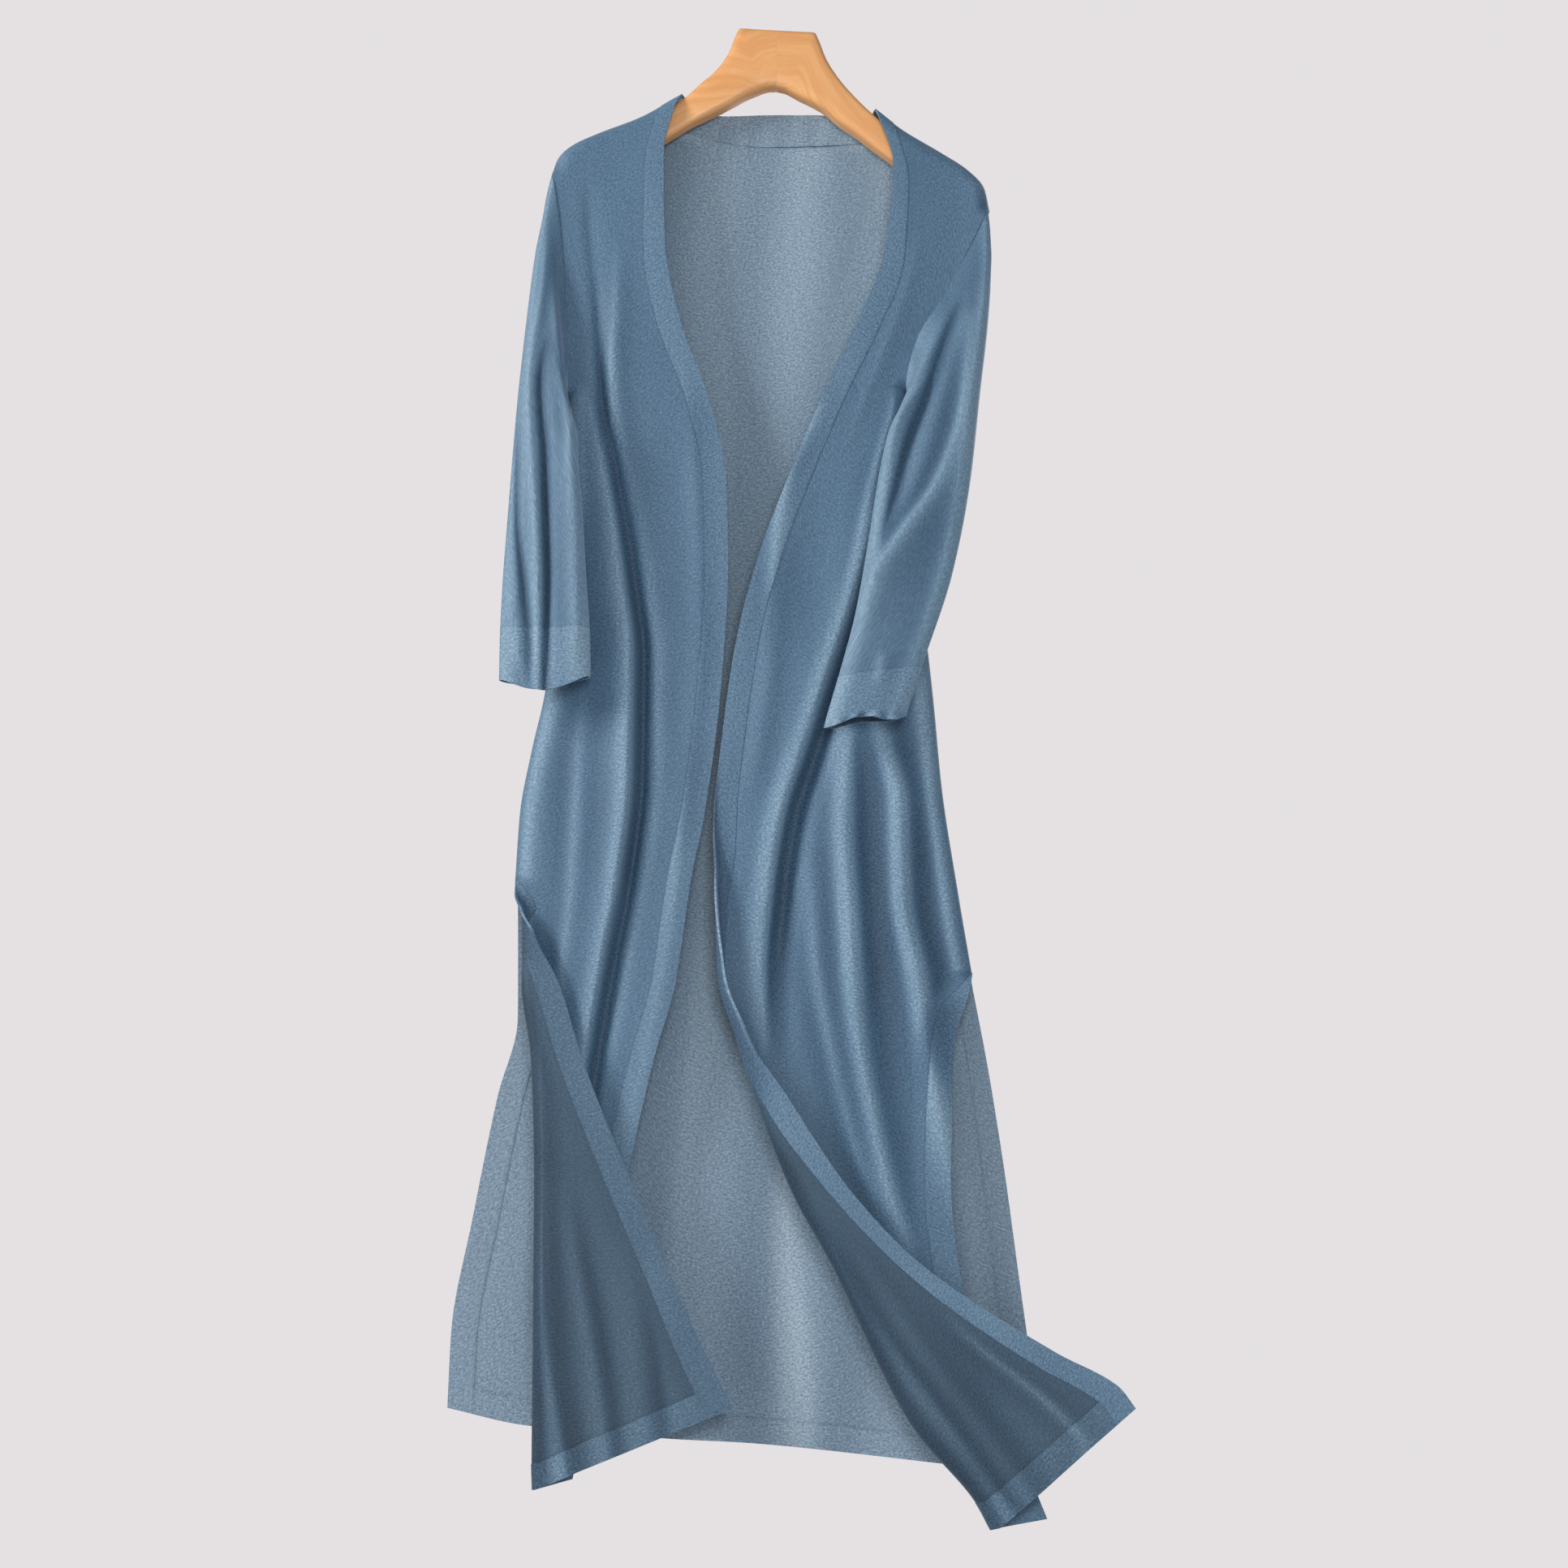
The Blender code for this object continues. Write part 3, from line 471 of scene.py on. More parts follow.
# the back's inside is greyer and lighter than the outer knit, and these tones are also raised as painted light against
# the shade the fronts cast on it
backToneWithPaintedLight = ((0.0, (0.105, 0.158, 0.215)), (0.32, (0.165, 0.240, 0.318)), (0.55, (0.232, 0.322, 0.412)),
             (0.80, (0.325, 0.420, 0.510)), (1.0, (0.440, 0.530, 0.615)))
flapBandTones = ((0.0, (0.021, 0.050, 0.086)), (0.32, (0.048, 0.100, 0.158)), (0.55, (0.078, 0.142, 0.212)),
                 (0.80, (0.127, 0.208, 0.287)), (1.0, (0.213, 0.312, 0.400)))
outerKnit = knitLook("outerKnit", outerTones)
bandKnit = knitLook("bandKnit", bandTones, grain=1.25, rows=0.35, bump=0.8, sheen=0.25)
flapBand = knitLook("flapBand", flapBandTones, grain=1.25, rows=0.35, bump=0.8, sheen=0.2)
innerKnit = knitLook("innerKnit", innerTones, grain=1.0, cloud=0.30, sheen=0.2)
# the back's inside finish: its own greyer tone plus painted light lifting the fronts' shade
backInsideWithPaintedLight = knitLook("backInsideWithPaintedLight", backToneWithPaintedLight, grain=1.5, rows=0.45, cloud=0.18, sheen=0.15, rough=0.75, bump=0.8)
warmWood = woodLook("warmWood")
print("finishes made")


# Lines that the pieces share, as seen from the front: sides from the shoulder's end to the slit, and shoulders.
sideRightRows = (("z", "x"),
                (-137, -201), (-190, -193), (-244, -188), (-300, -184.5), (-350, -184),
                (-425, -182), (-505, -188), (-615, -200), (-668, -211), (-722, -220), (-778, -223))
sideLeftRows = (("z", "x"),
               (-172, 190), (-215, 170), (-254, 150), (-299, 124), (-343, 114),
               (-422, 114), (-503, 122), (-576, 131), (-627, 136), (-699, 142), (-791, 155), (-861, 166))
shoulderRightRows = (("x", "z"),
                    (-84, -61), (-91, -65), (-122, -83.5), (-162, -100), (-184, -111), (-196, -123), (-201, -137))
shoulderLeftRows = (("x", "z"),
                   (88, -75), (94, -80), (112, -95), (148, -118), (172, -135), (186, -152), (190, -172))
garment = {"knit": 1.2, "double": 2.0, "cuffWall": 1.6, "band": 20.5, "hem": 21.0, "turn": 7.5, "depth": 16.0,
           "gap": 0.02, "apart": 0.05, "onSeam": 0.02, "underarmRight": -350, "underarmLeft": -343}
# The slit bands widen over the taper, starting a little above the slit; narrower than shown they are left out.
slitBand = {"wide": 22.0, "taper": 34.0, "above": 4.0, "shown": 0.35, "edge": 0.01, "columns": 12}

sideRight, sideLeft = byHeight(sideRightRows), byHeight(sideLeftRows)
shoulderRight, shoulderLeft = byRow(shoulderRightRows), byRow(shoulderLeftRows)
# the side seams are sewn from the underarms down
seamRight = sideRight[sideRight[:, 1] <= garment["underarmRight"] + 1.5]
seamLeft = sideLeft[sideLeft[:, 1] <= garment["underarmLeft"] + 1.5]


def bodyDepth(points):
    # share of the full depth: nothing on the shoulder and side seams
    top = np.minimum(apart(points, shoulderRight), apart(points, shoulderLeft)) - garment["onSeam"]
    side = np.minimum(apart(points, seamRight), apart(points, seamLeft)) - garment["onSeam"]
    return turning(top) * turning(side)


# A row crosses a front: its right edge, its left edge or fold, the free edge beyond that fold, how far the cloth
# has turned there in degrees, both depths, and how much of the shoulder's bow it takes.
frontRightRows = (("edge x", "edge z", "side x", "side z", "free x", "free z", "turn", "edge y", "side y", "shoulder"),
                 (-84, -61, -201, -137, -201, -137, 0, -16, -16, 1.0),
                 (-92, -80, -198, -152, -198, -152, 0, -16, -16, 0.9),
                 (-101, -124, -193, -190, -193, -190, 0, -17, -16, 0.5),
                 (-99, -209, -186.5, -244, -186.5, -244, 0, -18, -16, 0.1),
                 (-84, -285, -181, -300, -181, -300, 0, -18, -16, 0.0),
                 (-60, -352, -184, -350, -184, -350, 0, -18, -16, 0.0),
                 (-44, -427, -181, -425, -181, -425, 0, -18, -16, 0.0),
                 (-42, -508, -188, -505, -188, -505, 0, -18, -16, 0.0),
                 (-48, -617, -200, -615, -200, -615, 0, -18, -16, 0.0),
                 (-61, -724, -220, -722, -220, -722, 0, -18, -14, 0.0),
                 (-72, -780, -223, -778, -213, -784, 0, -17, -12, 0.0),
                 (-79, -829, -219, -829, -201, -834, 165, -17, -11, 0.0),
                 (-85, -871, -219, -871, -182, -874, 180, -17, -11, 0.0),
                 (-103, -937, -210, -936, -161, -939, 180, -17, -11, 0.0),
                 (-123, -1028, -206, -1028, -124, -1030, 180, -16, -11, 0.0),
                 (-142, -1136, -205, -1135, -79, -1133, 180, -15, -11, 0.0),
                 (-163, -1261, -204, -1271, -45, -1205, 180, -14, -11, 0.0),
                 (-167, -1282, -203, -1292, -34, -1225, 180, -14, -11, 0.0))
frontLeftRows = (("edge x", "edge z", "side x", "side z", "free x", "free z", "turn", "edge y", "side y", "shoulder"),
                (190, -172, 88, -75, 88, -75, 0, -16, -16, 1.0),
                (184, -184, 93, -92, 93, -92, 0, -16, -16, 0.9),
                (169, -215, 104, -132, 104, -132, 0, -16, -17, 0.5),
                (149, -254, 96, -215, 96, -215, 0, -16, -18, 0.1),
                (124, -299, 72, -280, 72, -280, 0, -16, -18, 0.0),
                (114, -343, 44, -343, 44, -343, 0, -16, -18, 0.0),
                (112, -422, 10, -427, 10, -427, 0, -16, -18, 0.0),
                (122, -503, -19, -508, -19, -508, 0, -16, -18, 0.0),
                (131, -576, -36, -580, -36, -580, 0, -16, -18, 0.0),
                (136, -627, -46, -652, -40, -652, 0, -16, -18, 0.0),
                (142, -699, -53, -724, -45, -724, 30, -16, -18, 0.0),
                (155, -791, -55, -795, -46, -796, 110, -16, -18, 0.0),
                (166, -861, -53, -865, -42, -866, 160, -15, -18, 0.0),
                (149, -930, -37, -920, -20, -924, 180, -14, -19, 0.0),
                (147, -985, -18, -978, 8, -966, 180, -14, -19, 0.0),
                (146, -1040, 9, -1048, 64, -1050, 180, -14, -18, 0.0),
                (152, -1110, 42, -1108, 120, -1108, 180, -14, -18, 0.0),
                (187, -1222, 108, -1241, 229, -1179, 180, -14, -18, 0.0),
                (214, -1294, 159, -1301, 281, -1207, 180, -14, -18, 0.0),
                (222, -1314, 171, -1323, 295, -1225, 180, -14, -18, 0.0))

# Each fold has its left and right flank, its hollow's share, then z, x and height down its crest.
rightFront = {
    "node": "right_front", "rows": frontRightRows, "side": sideRight, "shoulder": shoulderRight,
    "slitTop": -778, "bandFirst": True, "columns": 112, "lines": 330, "swell": 1.3, "seed": 11,
    "rests": "hanger_right_half",
    "folds": (
        (30.0, 5.5, 0.45, (
            (-330, -172, 0), (-396, -157, 4), (-454, -145, 7), (-527, -134, 12), (-585, -127, 15),
            (-692, -127.5, 16), (-783, -137, 15), (-846, -148, 13), (-935, -162, 9), (-1000, -170, 4))),
        (7.0, 11.0, 0.0, (
            (-200, -140, 0), (-271, -142, 3.5), (-324, -145, 4.5), (-376, -145, 4), (-430, -141, 0))),
        (9.0, 12.0, 0.0, (
            (-610, -166, 0), (-700, -170, 3.0), (-790, -174, 3.4), (-880, -184, 2.5), (-940, -190, 0))),
        (6.0, 6.0, 0.0, (
            (-235, -160, 0), (-290, -158, -3), (-345, -153, -4.5), (-396, -144, -3.5), (-440, -137, -1.5),
            (-475, -131, 0))),
        (16.0, 7.0, 0.0, (
            (-300, -86, 0), (-420, -72, 1.6), (-560, -66, 2.0), (-700, -78, 2.2), (-860, -96, 1.8),
            (-1000, -126, 1.0))),
        (7.0, 9.0, 0.0, (
            (-150, -170, 0), (-190, -168, -2.0), (-240, -163, -2.2), (-300, -158, 0)))),
    "flapFolds": (
        (9.0, 26.0, 0.0, (
            (-900, -205, 0), (-955, -201, 3), (-1070, -192, 6), (-1163, -183, 8), (-1280, -163, 9))),
        (8.0, 12.0, 0.0, (
            (-1040, -172, 0), (-1110, -158, 2.5), (-1190, -142, 3.4), (-1280, -128, 3))),
        (12.0, 9.0, 0.0, (
            (-1080, -118, 0), (-1140, -108, 1.8), (-1220, -98, 2.6), (-1270, -92, 2))))}
leftFront = {
    "node": "left_front", "rows": frontLeftRows, "side": sideLeft, "shoulder": shoulderLeft,
    "slitTop": -861, "bandFirst": False, "columns": 112, "lines": 330, "swell": 1.3, "seed": 23,
    "rests": "hanger_left_half",
    "folds": (
        (34.0, 6.5, 0.4, (
            (-360, 100, 0), (-441, 89, 5), (-514, 70, 10), (-622, 36, 13), (-672, 20, 13), (-728, 2.5, 13),
            (-798, -8, 11), (-867, -13, 6), (-940, -10, 0))),
        (16.0, 14.0, 0.1, (
            (-600, 64, 0), (-679, 60, 8), (-735, 58, 11), (-798, 61, 12), (-902, 67, 11), (-983, 80, 10),
            (-1057, 97, 7), (-1110, 116, 0))),
        (16.0, 12.0, 0.2, (
            (-600, 88, 0), (-658, 91, 8), (-714, 104, 11), (-798, 106, 12), (-867, 119, 11), (-929, 127, 9),
            (-1004, 139, 5), (-1080, 146, 0))),
        (7.0, 10.0, 0.0, (
            (-330, 44, 0), (-362, 38, 2.0), (-422, 13, 3.0), (-480, 1, 3.2), (-539, -6, 3.2), (-604, -12, 3.0),
            (-676, -22, 2.4), (-746, -36, 0))),
        (6.0, 8.0, 0.0, (
            (-340, 106, 0), (-362, 102, 2.0), (-429, 84, 3.0), (-502, 69, 2.0), (-540, 60, 0))),
        (9.0, 12.0, 0.0, (
            (-190, 128, 0), (-240, 118, 2.0), (-300, 98, 2.6), (-360, 74, 1.8), (-400, 60, 0))),
        (9.0, 11.0, 0.0, (
            (-760, 30, 0), (-840, 32, 2.6), (-930, 46, 3.2), (-1010, 66, 2.6), (-1080, 92, 0)))),
    "flapFolds": (
        (30.0, 30.0, 0.0, (
            (-1000, 20, 0), (-1100, 78, 4), (-1180, 130, 7), (-1260, 190, 8), (-1310, 225, 8))),
        (9.0, 12.0, 0.0, (
            (-1090, 50, 0), (-1160, 92, 2.4), (-1240, 150, 3.2), (-1310, 200, 3))),
        (10.0, 9.0, 0.0, (
            (-1120, 118, 0), (-1170, 160, -2.0), (-1215, 215, -2.4), (-1250, 250, -1.5))))}


def frontLines(item, level):
    # lines across a front at the given distances down it: attached edge, fold, free edge
    data = table(item["rows"])
    spacing = spacingOf(data)
    found = smooth(level, spacing, data)
    side, shoulder = item["side"], item["shoulder"]
    onLeft = data[0, 0] > 0
    base = walk(shoulder, np.linspace(0, lengths(shoulder)[-1], 160))
    base = base[::-1] if onLeft else base
    bow = base - (base[0] + np.linspace(0, 1, 160)[:, None] * (base[-1] - base[0]))
    share = (1 - np.cos(np.pi * np.linspace(0, 1, 160))) / 2
    bow = np.stack([np.interp(share, np.linspace(0, 1, 160), bow[:, axis]) for axis in (0, 1)], axis=-1)
    flats, bends = [], []
    for row in found:
        edge, crease, free = row[0:2].copy(), row[2:4].copy(), row[4:6].copy()
        hung = edge if onLeft else crease
        if hung[1] > side[-1, 1]:
            hung[0] = np.interp(-hung[1], -side[:, 1], side[:, 0])
        along = (crease - edge) / np.linalg.norm(crease - edge)
        angle = math.radians(max(row[6], 0.0))
        stop = crease - along * garment["turn"] * min(angle, math.pi / 2)
        flats.append(edge + share[:, None] * (stop - edge) + row[9] * bow)
        bends.append((along, angle, stop, free))
    flats = np.array(flats)
    full = bodyDepth(flats)
    depth = (found[:, 7:8] + share * (found[:, 8:9] - found[:, 7:8])) * full - garment["apart"]
    for one in item["folds"]:
        depth = depth - fold(flats, *one) * np.minimum(full * 1.6, 1.0)
    depth = depth - item["swell"] * wander(flats[..., 0], flats[..., 1], item["seed"], 90.0) * full
    lines = []
    for flat, deep, (along, angle, stop, free) in zip(flats, depth, bends):
        lower = np.column_stack([flat[:, 0], deep, flat[:, 1]])
        if angle < 0.02:
            lines.append(walk(lower, np.linspace(0, lengths(lower)[-1], 420)))
            continue
        swing = np.linspace(0, angle, 32)[1:]
        radius = garment["turn"]
        bend = np.column_stack([stop[0] + along[0] * radius * np.sin(swing), deep[-1] - radius * (1 - np.cos(swing)),
                                stop[1] + along[1] * radius * np.sin(swing)])
        heading = free - stop
        span = np.linalg.norm(heading)
        turned = (1 - math.cos(angle)) / 2
        heading = (1 - turned) * along + turned * heading / span
        part = np.linspace(0, 1, 120)[1:, None]
        rest = max(span - 1.0, 0.5) * turned
        plane = np.column_stack([bend[-1, 0] + part * rest * heading[0], bend[-1, 2] + part * rest * heading[1]])
        lift = part[:, 0] * (rest * math.sin(angle) + 2.0 * turned)
        gentle = turning(part[:, 0] * rest)
        for one in item["flapFolds"]:
            lift = lift + fold(plane, *one) * gentle
        lift = lift + item["swell"] * 0.8 * wander(plane[:, 0], plane[:, 1], item["seed"] + 1, 70.0) * gentle
        upper = np.column_stack([plane[:, 0], bend[-1, 1] - lift, plane[:, 1]])
        whole = np.vstack([lower, bend, upper])
        lines.append(walk(whole, np.linspace(0, lengths(whole)[-1], 520)))
    return lines


def strip(lines, start, stop, count):
    # cut a strip out of the lines; distances run from the attached edge, negative ones from the far edge
    share = np.linspace(0, 1, count)
    cut = []
    for line, first, last in zip(lines, start, stop):
        whole = lengths(line)[-1]
        first = first if first >= 0 else whole + first
        last = last if last > 0 else whole + last
        cut.append(walk(line, first + share * (last - first)))
    return np.array(cut)


def makeFront(item):
    data = table(item["rows"])
    spacing = spacingOf(data)
    bandFirst, node, gap = item["bandFirst"], item["node"], garment["gap"]
    slit = np.interp(-item["slitTop"], -data[:, 3 if bandFirst else 1], spacing)
    hemLine = spacing[-2]
    level = np.concatenate([np.linspace(0, 13, 12), np.linspace(16, hemLine - gap, item["lines"])])
    low = np.linspace(hemLine + gap, spacing[-1], 9)
    lines, foot = frontLines(item, level), frontLines(item, low)
    long, longLevel, top = lines + foot, np.concatenate([level, low]), len(level)
    whole = np.array([lengths(line)[-1] for line in long])
    slitSide = slitBand["wide"] * blend(longLevel, slit - slitBand["above"], slit + slitBand["taper"])
    if bandFirst:
        bandFrom, bandTo = np.zeros(len(long)), np.full(len(long), garment["band"])
        panelFrom, panelTo = bandTo + 2 * gap, whole - slitSide
        slitFrom, slitTo = whole - slitSide + 2 * gap, whole - slitBand["edge"]
        hemFrom, hemTo = bandTo + 2 * gap, whole - slitBand["wide"] - gap
    else:
        bandFrom, bandTo = whole - garment["band"], whole
        panelFrom, panelTo = slitSide, bandFrom - 2 * gap
        slitFrom, slitTo = np.full(len(long), slitBand["edge"]), slitSide - 2 * gap
        hemFrom, hemTo = np.full(len(long), slitBand["wide"] + gap), bandFrom - 2 * gap
    opened = np.flatnonzero(slitSide > slitBand["shown"])
    panel = strip(lines, panelFrom[:top], panelTo[:top], item["columns"])
    band = strip(long, bandFrom, bandTo, 13)
    slitStrip = strip([long[at] for at in opened], slitFrom[opened], slitTo[opened], slitBand["columns"])
    hem = strip(foot, hemFrom[top:], hemTo[top:], item["columns"])
    bandSeam, slitSeam = ("last", "first") if bandFirst else ("first", "last")
    parts = (("", panel, garment["knit"], (outerKnit, innerKnit), "all", item["rests"]),
             ("_band", band, garment["double"], (bandKnit, bandKnit), bandSeam, item["rests"]),
             ("_slit_band", slitStrip, garment["double"], (bandKnit, flapBand), slitSeam, item["rests"]),
             ("_hem", hem, garment["double"], (bandKnit, flapBand), "top", node))
    for ending, points, wall, looks, seams, rests in parts:
        piece = makeCloth(node + ending + "_cloth", points, wall, looks, seams)
        settle(piece, node + ending)


makeFront(rightFront)
makeFront(leftFront)
print("fronts hung")


# edges of the back below the underarms, and its neck seam
backSlitRightRows = (("z", "x"), (-778, -223), (-825, -222), (-898, -221), (-964, -237), (-1066, -256),
                    (-1161, -272), (-1224, -274))
backSlitLeftRows = (("z", "x"), (-861, 166), (-945, 181), (-1034, 194), (-1108, 203), (-1164, 210), (-1279, 224))
backHemRows = (("x", "z"), (-274, -1224), (-210, -1238), (-92, -1249), (-18, -1253), (134, -1269), (224, -1279))
neckSeamRows = (("x", "z"), (-101.5, -72), (-95, -82), (-82, -91), (-57, -98), (-12, -104), (32, -103),
               (72, -101), (90, -98), (104, -88.5))
back = {"columns": 120, "armLines": 70, "bodyLines": 120, "lowLines": 110, "swell": 1.4, "seed": 31,
        "folds": (
            (26.0, 34.0, 0.0, (
                (-200, -40, 0), (-420, -46, 2.0), (-760, -58, 2.6), (-1100, -84, 2.2), (-1250, -95, 1.5))),
            (30.0, 22.0, 0.0, (
                (-260, 60, 0), (-480, 66, 2.0), (-800, 84, 2.8), (-1150, 118, 2.4), (-1270, 126, 1.5))),
            (12.0, 18.0, 0.0, (
                (-900, -150, 0), (-1020, -168, 2.4), (-1150, -190, 3.4), (-1240, -198, 3))),
            (16.0, 12.0, 0.0, (
                (-960, 150, 0), (-1080, 168, 2.4), (-1180, 182, 3.2), (-1270, 190, 3))),
            (18.0, 14.0, 0.0, (
                (-950, 10, 0), (-1050, 6, 1.8), (-1160, 14, 2.6), (-1255, 22, 2))))}


def backLines(part):
    # the back as one sheet between its four edges; part runs 0 to 3 from top to underarm, slit and hem
    neck = byRow(neckSeamRows)
    outer = walk(shoulderRight, np.linspace(lengths(shoulderRight)[-1], 20.6, 60))
    inner = walk(shoulderLeft, np.linspace(20.6, lengths(shoulderLeft)[-1], 60))
    top, hem = np.vstack([outer, neck[1:-1], inner]), byRow(backHemRows)
    share = np.linspace(0, 1, 300)
    top, hem = walk(top, share * lengths(top)[-1]), walk(hem, share * lengths(hem)[-1])

    def edge(side, slit, underarm):
        runs = (side[side[:, 1] >= underarm], side[side[:, 1] <= underarm], byHeight(slit))
        found = []
        for at in part:
            step = min(int(at), 2)
            found.append(walk(runs[step], (at - step) * lengths(runs[step])[-1]))
        return np.array(found)

    right = edge(sideRight, backSlitRightRows, garment["underarmRight"])
    left = edge(sideLeft, backSlitLeftRows, garment["underarmLeft"])
    fall = (lengths(right) / lengths(right)[-1])[:, None, None]
    flats = ((1 - fall) * top + fall * hem
             + (1 - share)[:, None] * (right[:, None] - (1 - fall) * top[0] - fall * hem[0])
             + share[:, None] * (left[:, None] - (1 - fall) * top[-1] - fall * hem[-1]))
    full, fall = bodyDepth(flats), fall[..., 0]
    wave = 2.5 * fall * np.sin(flats[..., 0] / 38.0 + 0.8) * turning((1 - fall) * 60)
    depth = (garment["depth"] + 1.5 * fall + wave) * full + garment["apart"]
    for one in back["folds"]:
        depth = depth + fold(flats, *one) * full
    depth = depth + back["swell"] * wander(flats[..., 0], flats[..., 1], back["seed"], 120.0) * full
    return np.stack([flats[..., 0], depth, flats[..., 1]], axis=-1)


def makeBack():
    first = np.concatenate([np.linspace(0, 0.07, 9)[:-1], np.linspace(0.07, 1.0, back["armLines"])])
    part = np.concatenate([first, np.linspace(1, 2, back["bodyLines"])[1:], np.linspace(2, 3, back["lowLines"])[1:]])
    fine = backLines(part)
    fixed, gap = len(first), garment["gap"]
    panel, foot = [], []
    for line in np.swapaxes(fine, 0, 1):
        passed = lengths(line)
        last = passed[-1] - garment["hem"]
        keep = passed.copy()
        squeeze = (last - gap - passed[fixed]) / (passed[-1] - passed[fixed])
        keep[fixed:] = passed[fixed] + (passed[fixed:] - passed[fixed]) * squeeze
        panel.append(walk(line, keep))
        foot.append(walk(line, np.linspace(last + gap, passed[-1], 9)))
    panel, foot = np.swapaxes(np.array(panel), 0, 1), np.swapaxes(np.array(foot), 0, 1)
    rightTop, leftTop = np.interp(2.0, part, lengths(fine[:, 0])), np.interp(2.0, part, lengths(fine[:, -1]))

    def width(passed, begin):
        return slitBand["wide"] * blend(passed, begin - slitBand["above"], begin + slitBand["taper"])

    rightRun, leftRun = lengths(panel[:, 0]), lengths(panel[:, -1])
    body = strip(panel, width(rightRun, rightTop) + 0.001, -(width(leftRun, leftTop) + 0.001), back["columns"])
    piece = makeCloth("back_cloth", body, garment["knit"], (outerKnit, backInsideWithPaintedLight), "all")
    settle(piece, "back")
    inward = slitBand["wide"] + gap
    low = strip(foot, np.full(9, inward), np.full(9, -inward), back["columns"])
    piece = makeCloth("back_hem_cloth", low, garment["double"], (bandKnit, backInsideWithPaintedLight), "top")
    settle(piece, "back_hem")
    whole = np.concatenate([panel, foot])
    for name, column, begin in (("right", 0, rightTop), ("left", -1, leftTop)):
        passed = lengths(whole[:, column])
        opened = width(passed, begin) > slitBand["shown"]
        wide = width(passed[opened], begin) - 2 * gap
        tiny = np.full(opened.sum(), slitBand["edge"])
        start, stop = (tiny, wide) if name == "right" else (-wide, -tiny)
        points = strip(whole[opened], start, stop, slitBand["columns"])
        piece = makeCloth("back_%s_slit_band_cloth" % name, points, garment["double"], (bandKnit, backInsideWithPaintedLight),
                          "last" if name == "right" else "first")
        settle(piece, "back_%s_slit_band" % name)


makeBack()
print("back hung")


neckEdgeRows = (("x", "z"), (-84, -61), (-80, -58.5), (-75, -63), (-67, -72), (-47, -74), (-5, -73), (37, -73),
               (60, -76), (76, -81), (88, -75))
neckBand = {"columns": 200, "lines": 16, "low": 0.004, "swell": 0.25, "seed": 5, "ends": 0.5}


def makeNeckBand():
    reach = np.linspace(0, 1, neckBand["columns"])
    low, high = byRow(neckSeamRows), byRow(neckEdgeRows)
    low, high = walk(low, reach * lengths(low)[-1]), walk(high, reach * lengths(high)[-1])
    share = np.linspace(neckBand["low"], 1, neckBand["lines"])[:, None, None]
    flats = low + share * (high - low)
    uneven = neckBand["swell"] * wander(flats[..., 0], flats[..., 1], neckBand["seed"], 30.0)
    depth = garment["depth"] * bodyDepth(flats) + garment["apart"] + uneven
    points = np.stack([flats[..., 0], depth, flats[..., 1]], axis=-1)
    ends = np.full(len(points), neckBand["ends"])
    points = strip(points, ends, -ends, neckBand["columns"])
    piece = makeCloth("neck_band_cloth", points, garment["double"], (bandKnit, backInsideWithPaintedLight), "top", flip=True)
    settle(piece, "neck_band")


makeNeckBand()
print("neck band sewn")


# A row crosses a sleeve from its outer to its inner edge.
sleeveRightRows = (("outer x", "outer z", "inner x", "inner z", "outer y", "inner y", "half depth"),
                  (-202, -137.5, -185, -350.5, 0, 0, 16),
                  (-206, -158, -187, -356, -2, -11, 15),
                  (-209, -182, -184, -364, -5, -21, 14),
                  (-214, -215, -179, -376, -9, -31, 13),
                  (-220, -280, -173, -396, -19, -40, 12),
                  (-226, -360, -172, -420, -30, -43, 11),
                  (-231, -455, -168, -465, -40, -45, 10),
                  (-235, -535, -163, -535, -44, -46, 10),
                  (-236, -575, -160, -575, -45, -47, 9),
                  (-236, -615, -159, -612, -45, -47, 9))
sleeveLeftRows = (("outer x", "outer z", "inner x", "inner z", "outer y", "inner y", "half depth"),
                 (191, -172.5, 115, -343.5, 0, 0, 16),
                 (192, -190, 117, -350, -2, -11, 15),
                 (192, -210, 114, -359, -5, -21, 14),
                 (190, -240, 107, -372, -9, -31, 13),
                 (186, -285, 98, -392, -19, -41, 12),
                 (178, -350, 90, -428, -30, -44, 11),
                 (167, -440, 80, -490, -40, -47, 11),
                 (151, -520, 68, -558, -44, -49, 10),
                 (126, -597, 55, -608, -47, -50, 9),
                 (110, -645, 41, -657, -47, -50, 9))
rightSleeve = {
    "name": "right", "rows": sleeveRightRows, "side": sideRight, "cuff": 44.0, "half": 56, "lines": 200,
    "flip": True, "swell": 0.8, "seed": 41, "sag": 12.0, "fray": 0.0,
    "folds": (
        (4.5, 4.5, 0.0, (
            (-190, -204, 0), (-240, -206, 2.2), (-349, -216, 3.4), (-415, -212, 3.4), (-474, -207, 3.6),
            (-532, -204, 3.6), (-584, -203, 2.0), (-600, -203, 0.8))),
        (3.4, 4.5, 0.0, (
            (-300, -200, 0), (-349, -206, -4), (-415, -201, -6), (-474, -199, -7), (-532, -197, -7),
            (-584, -197, -6), (-621, -197, -3))),
        (5.0, 4.0, 0.0, (
            (-300, -224, 0), (-349, -228, -3), (-415, -225, -4), (-474, -223, -4), (-532, -216, -4),
            (-582, -210, -2))),
        (9.0, 7.0, 0.0, (
            (-170, -190, 0), (-222, -190, 3.5), (-282, -192, 4.5), (-334, -188, 4.5), (-386, -181, 4.5),
            (-444, -173, 4.5), (-503, -171, 4), (-560, -171, 3), (-600, -174, 1))),
        (5.0, 5.0, 0.0, (
            (-560, -222, 0), (-585, -221, 1.8), (-604, -220, 0))))}
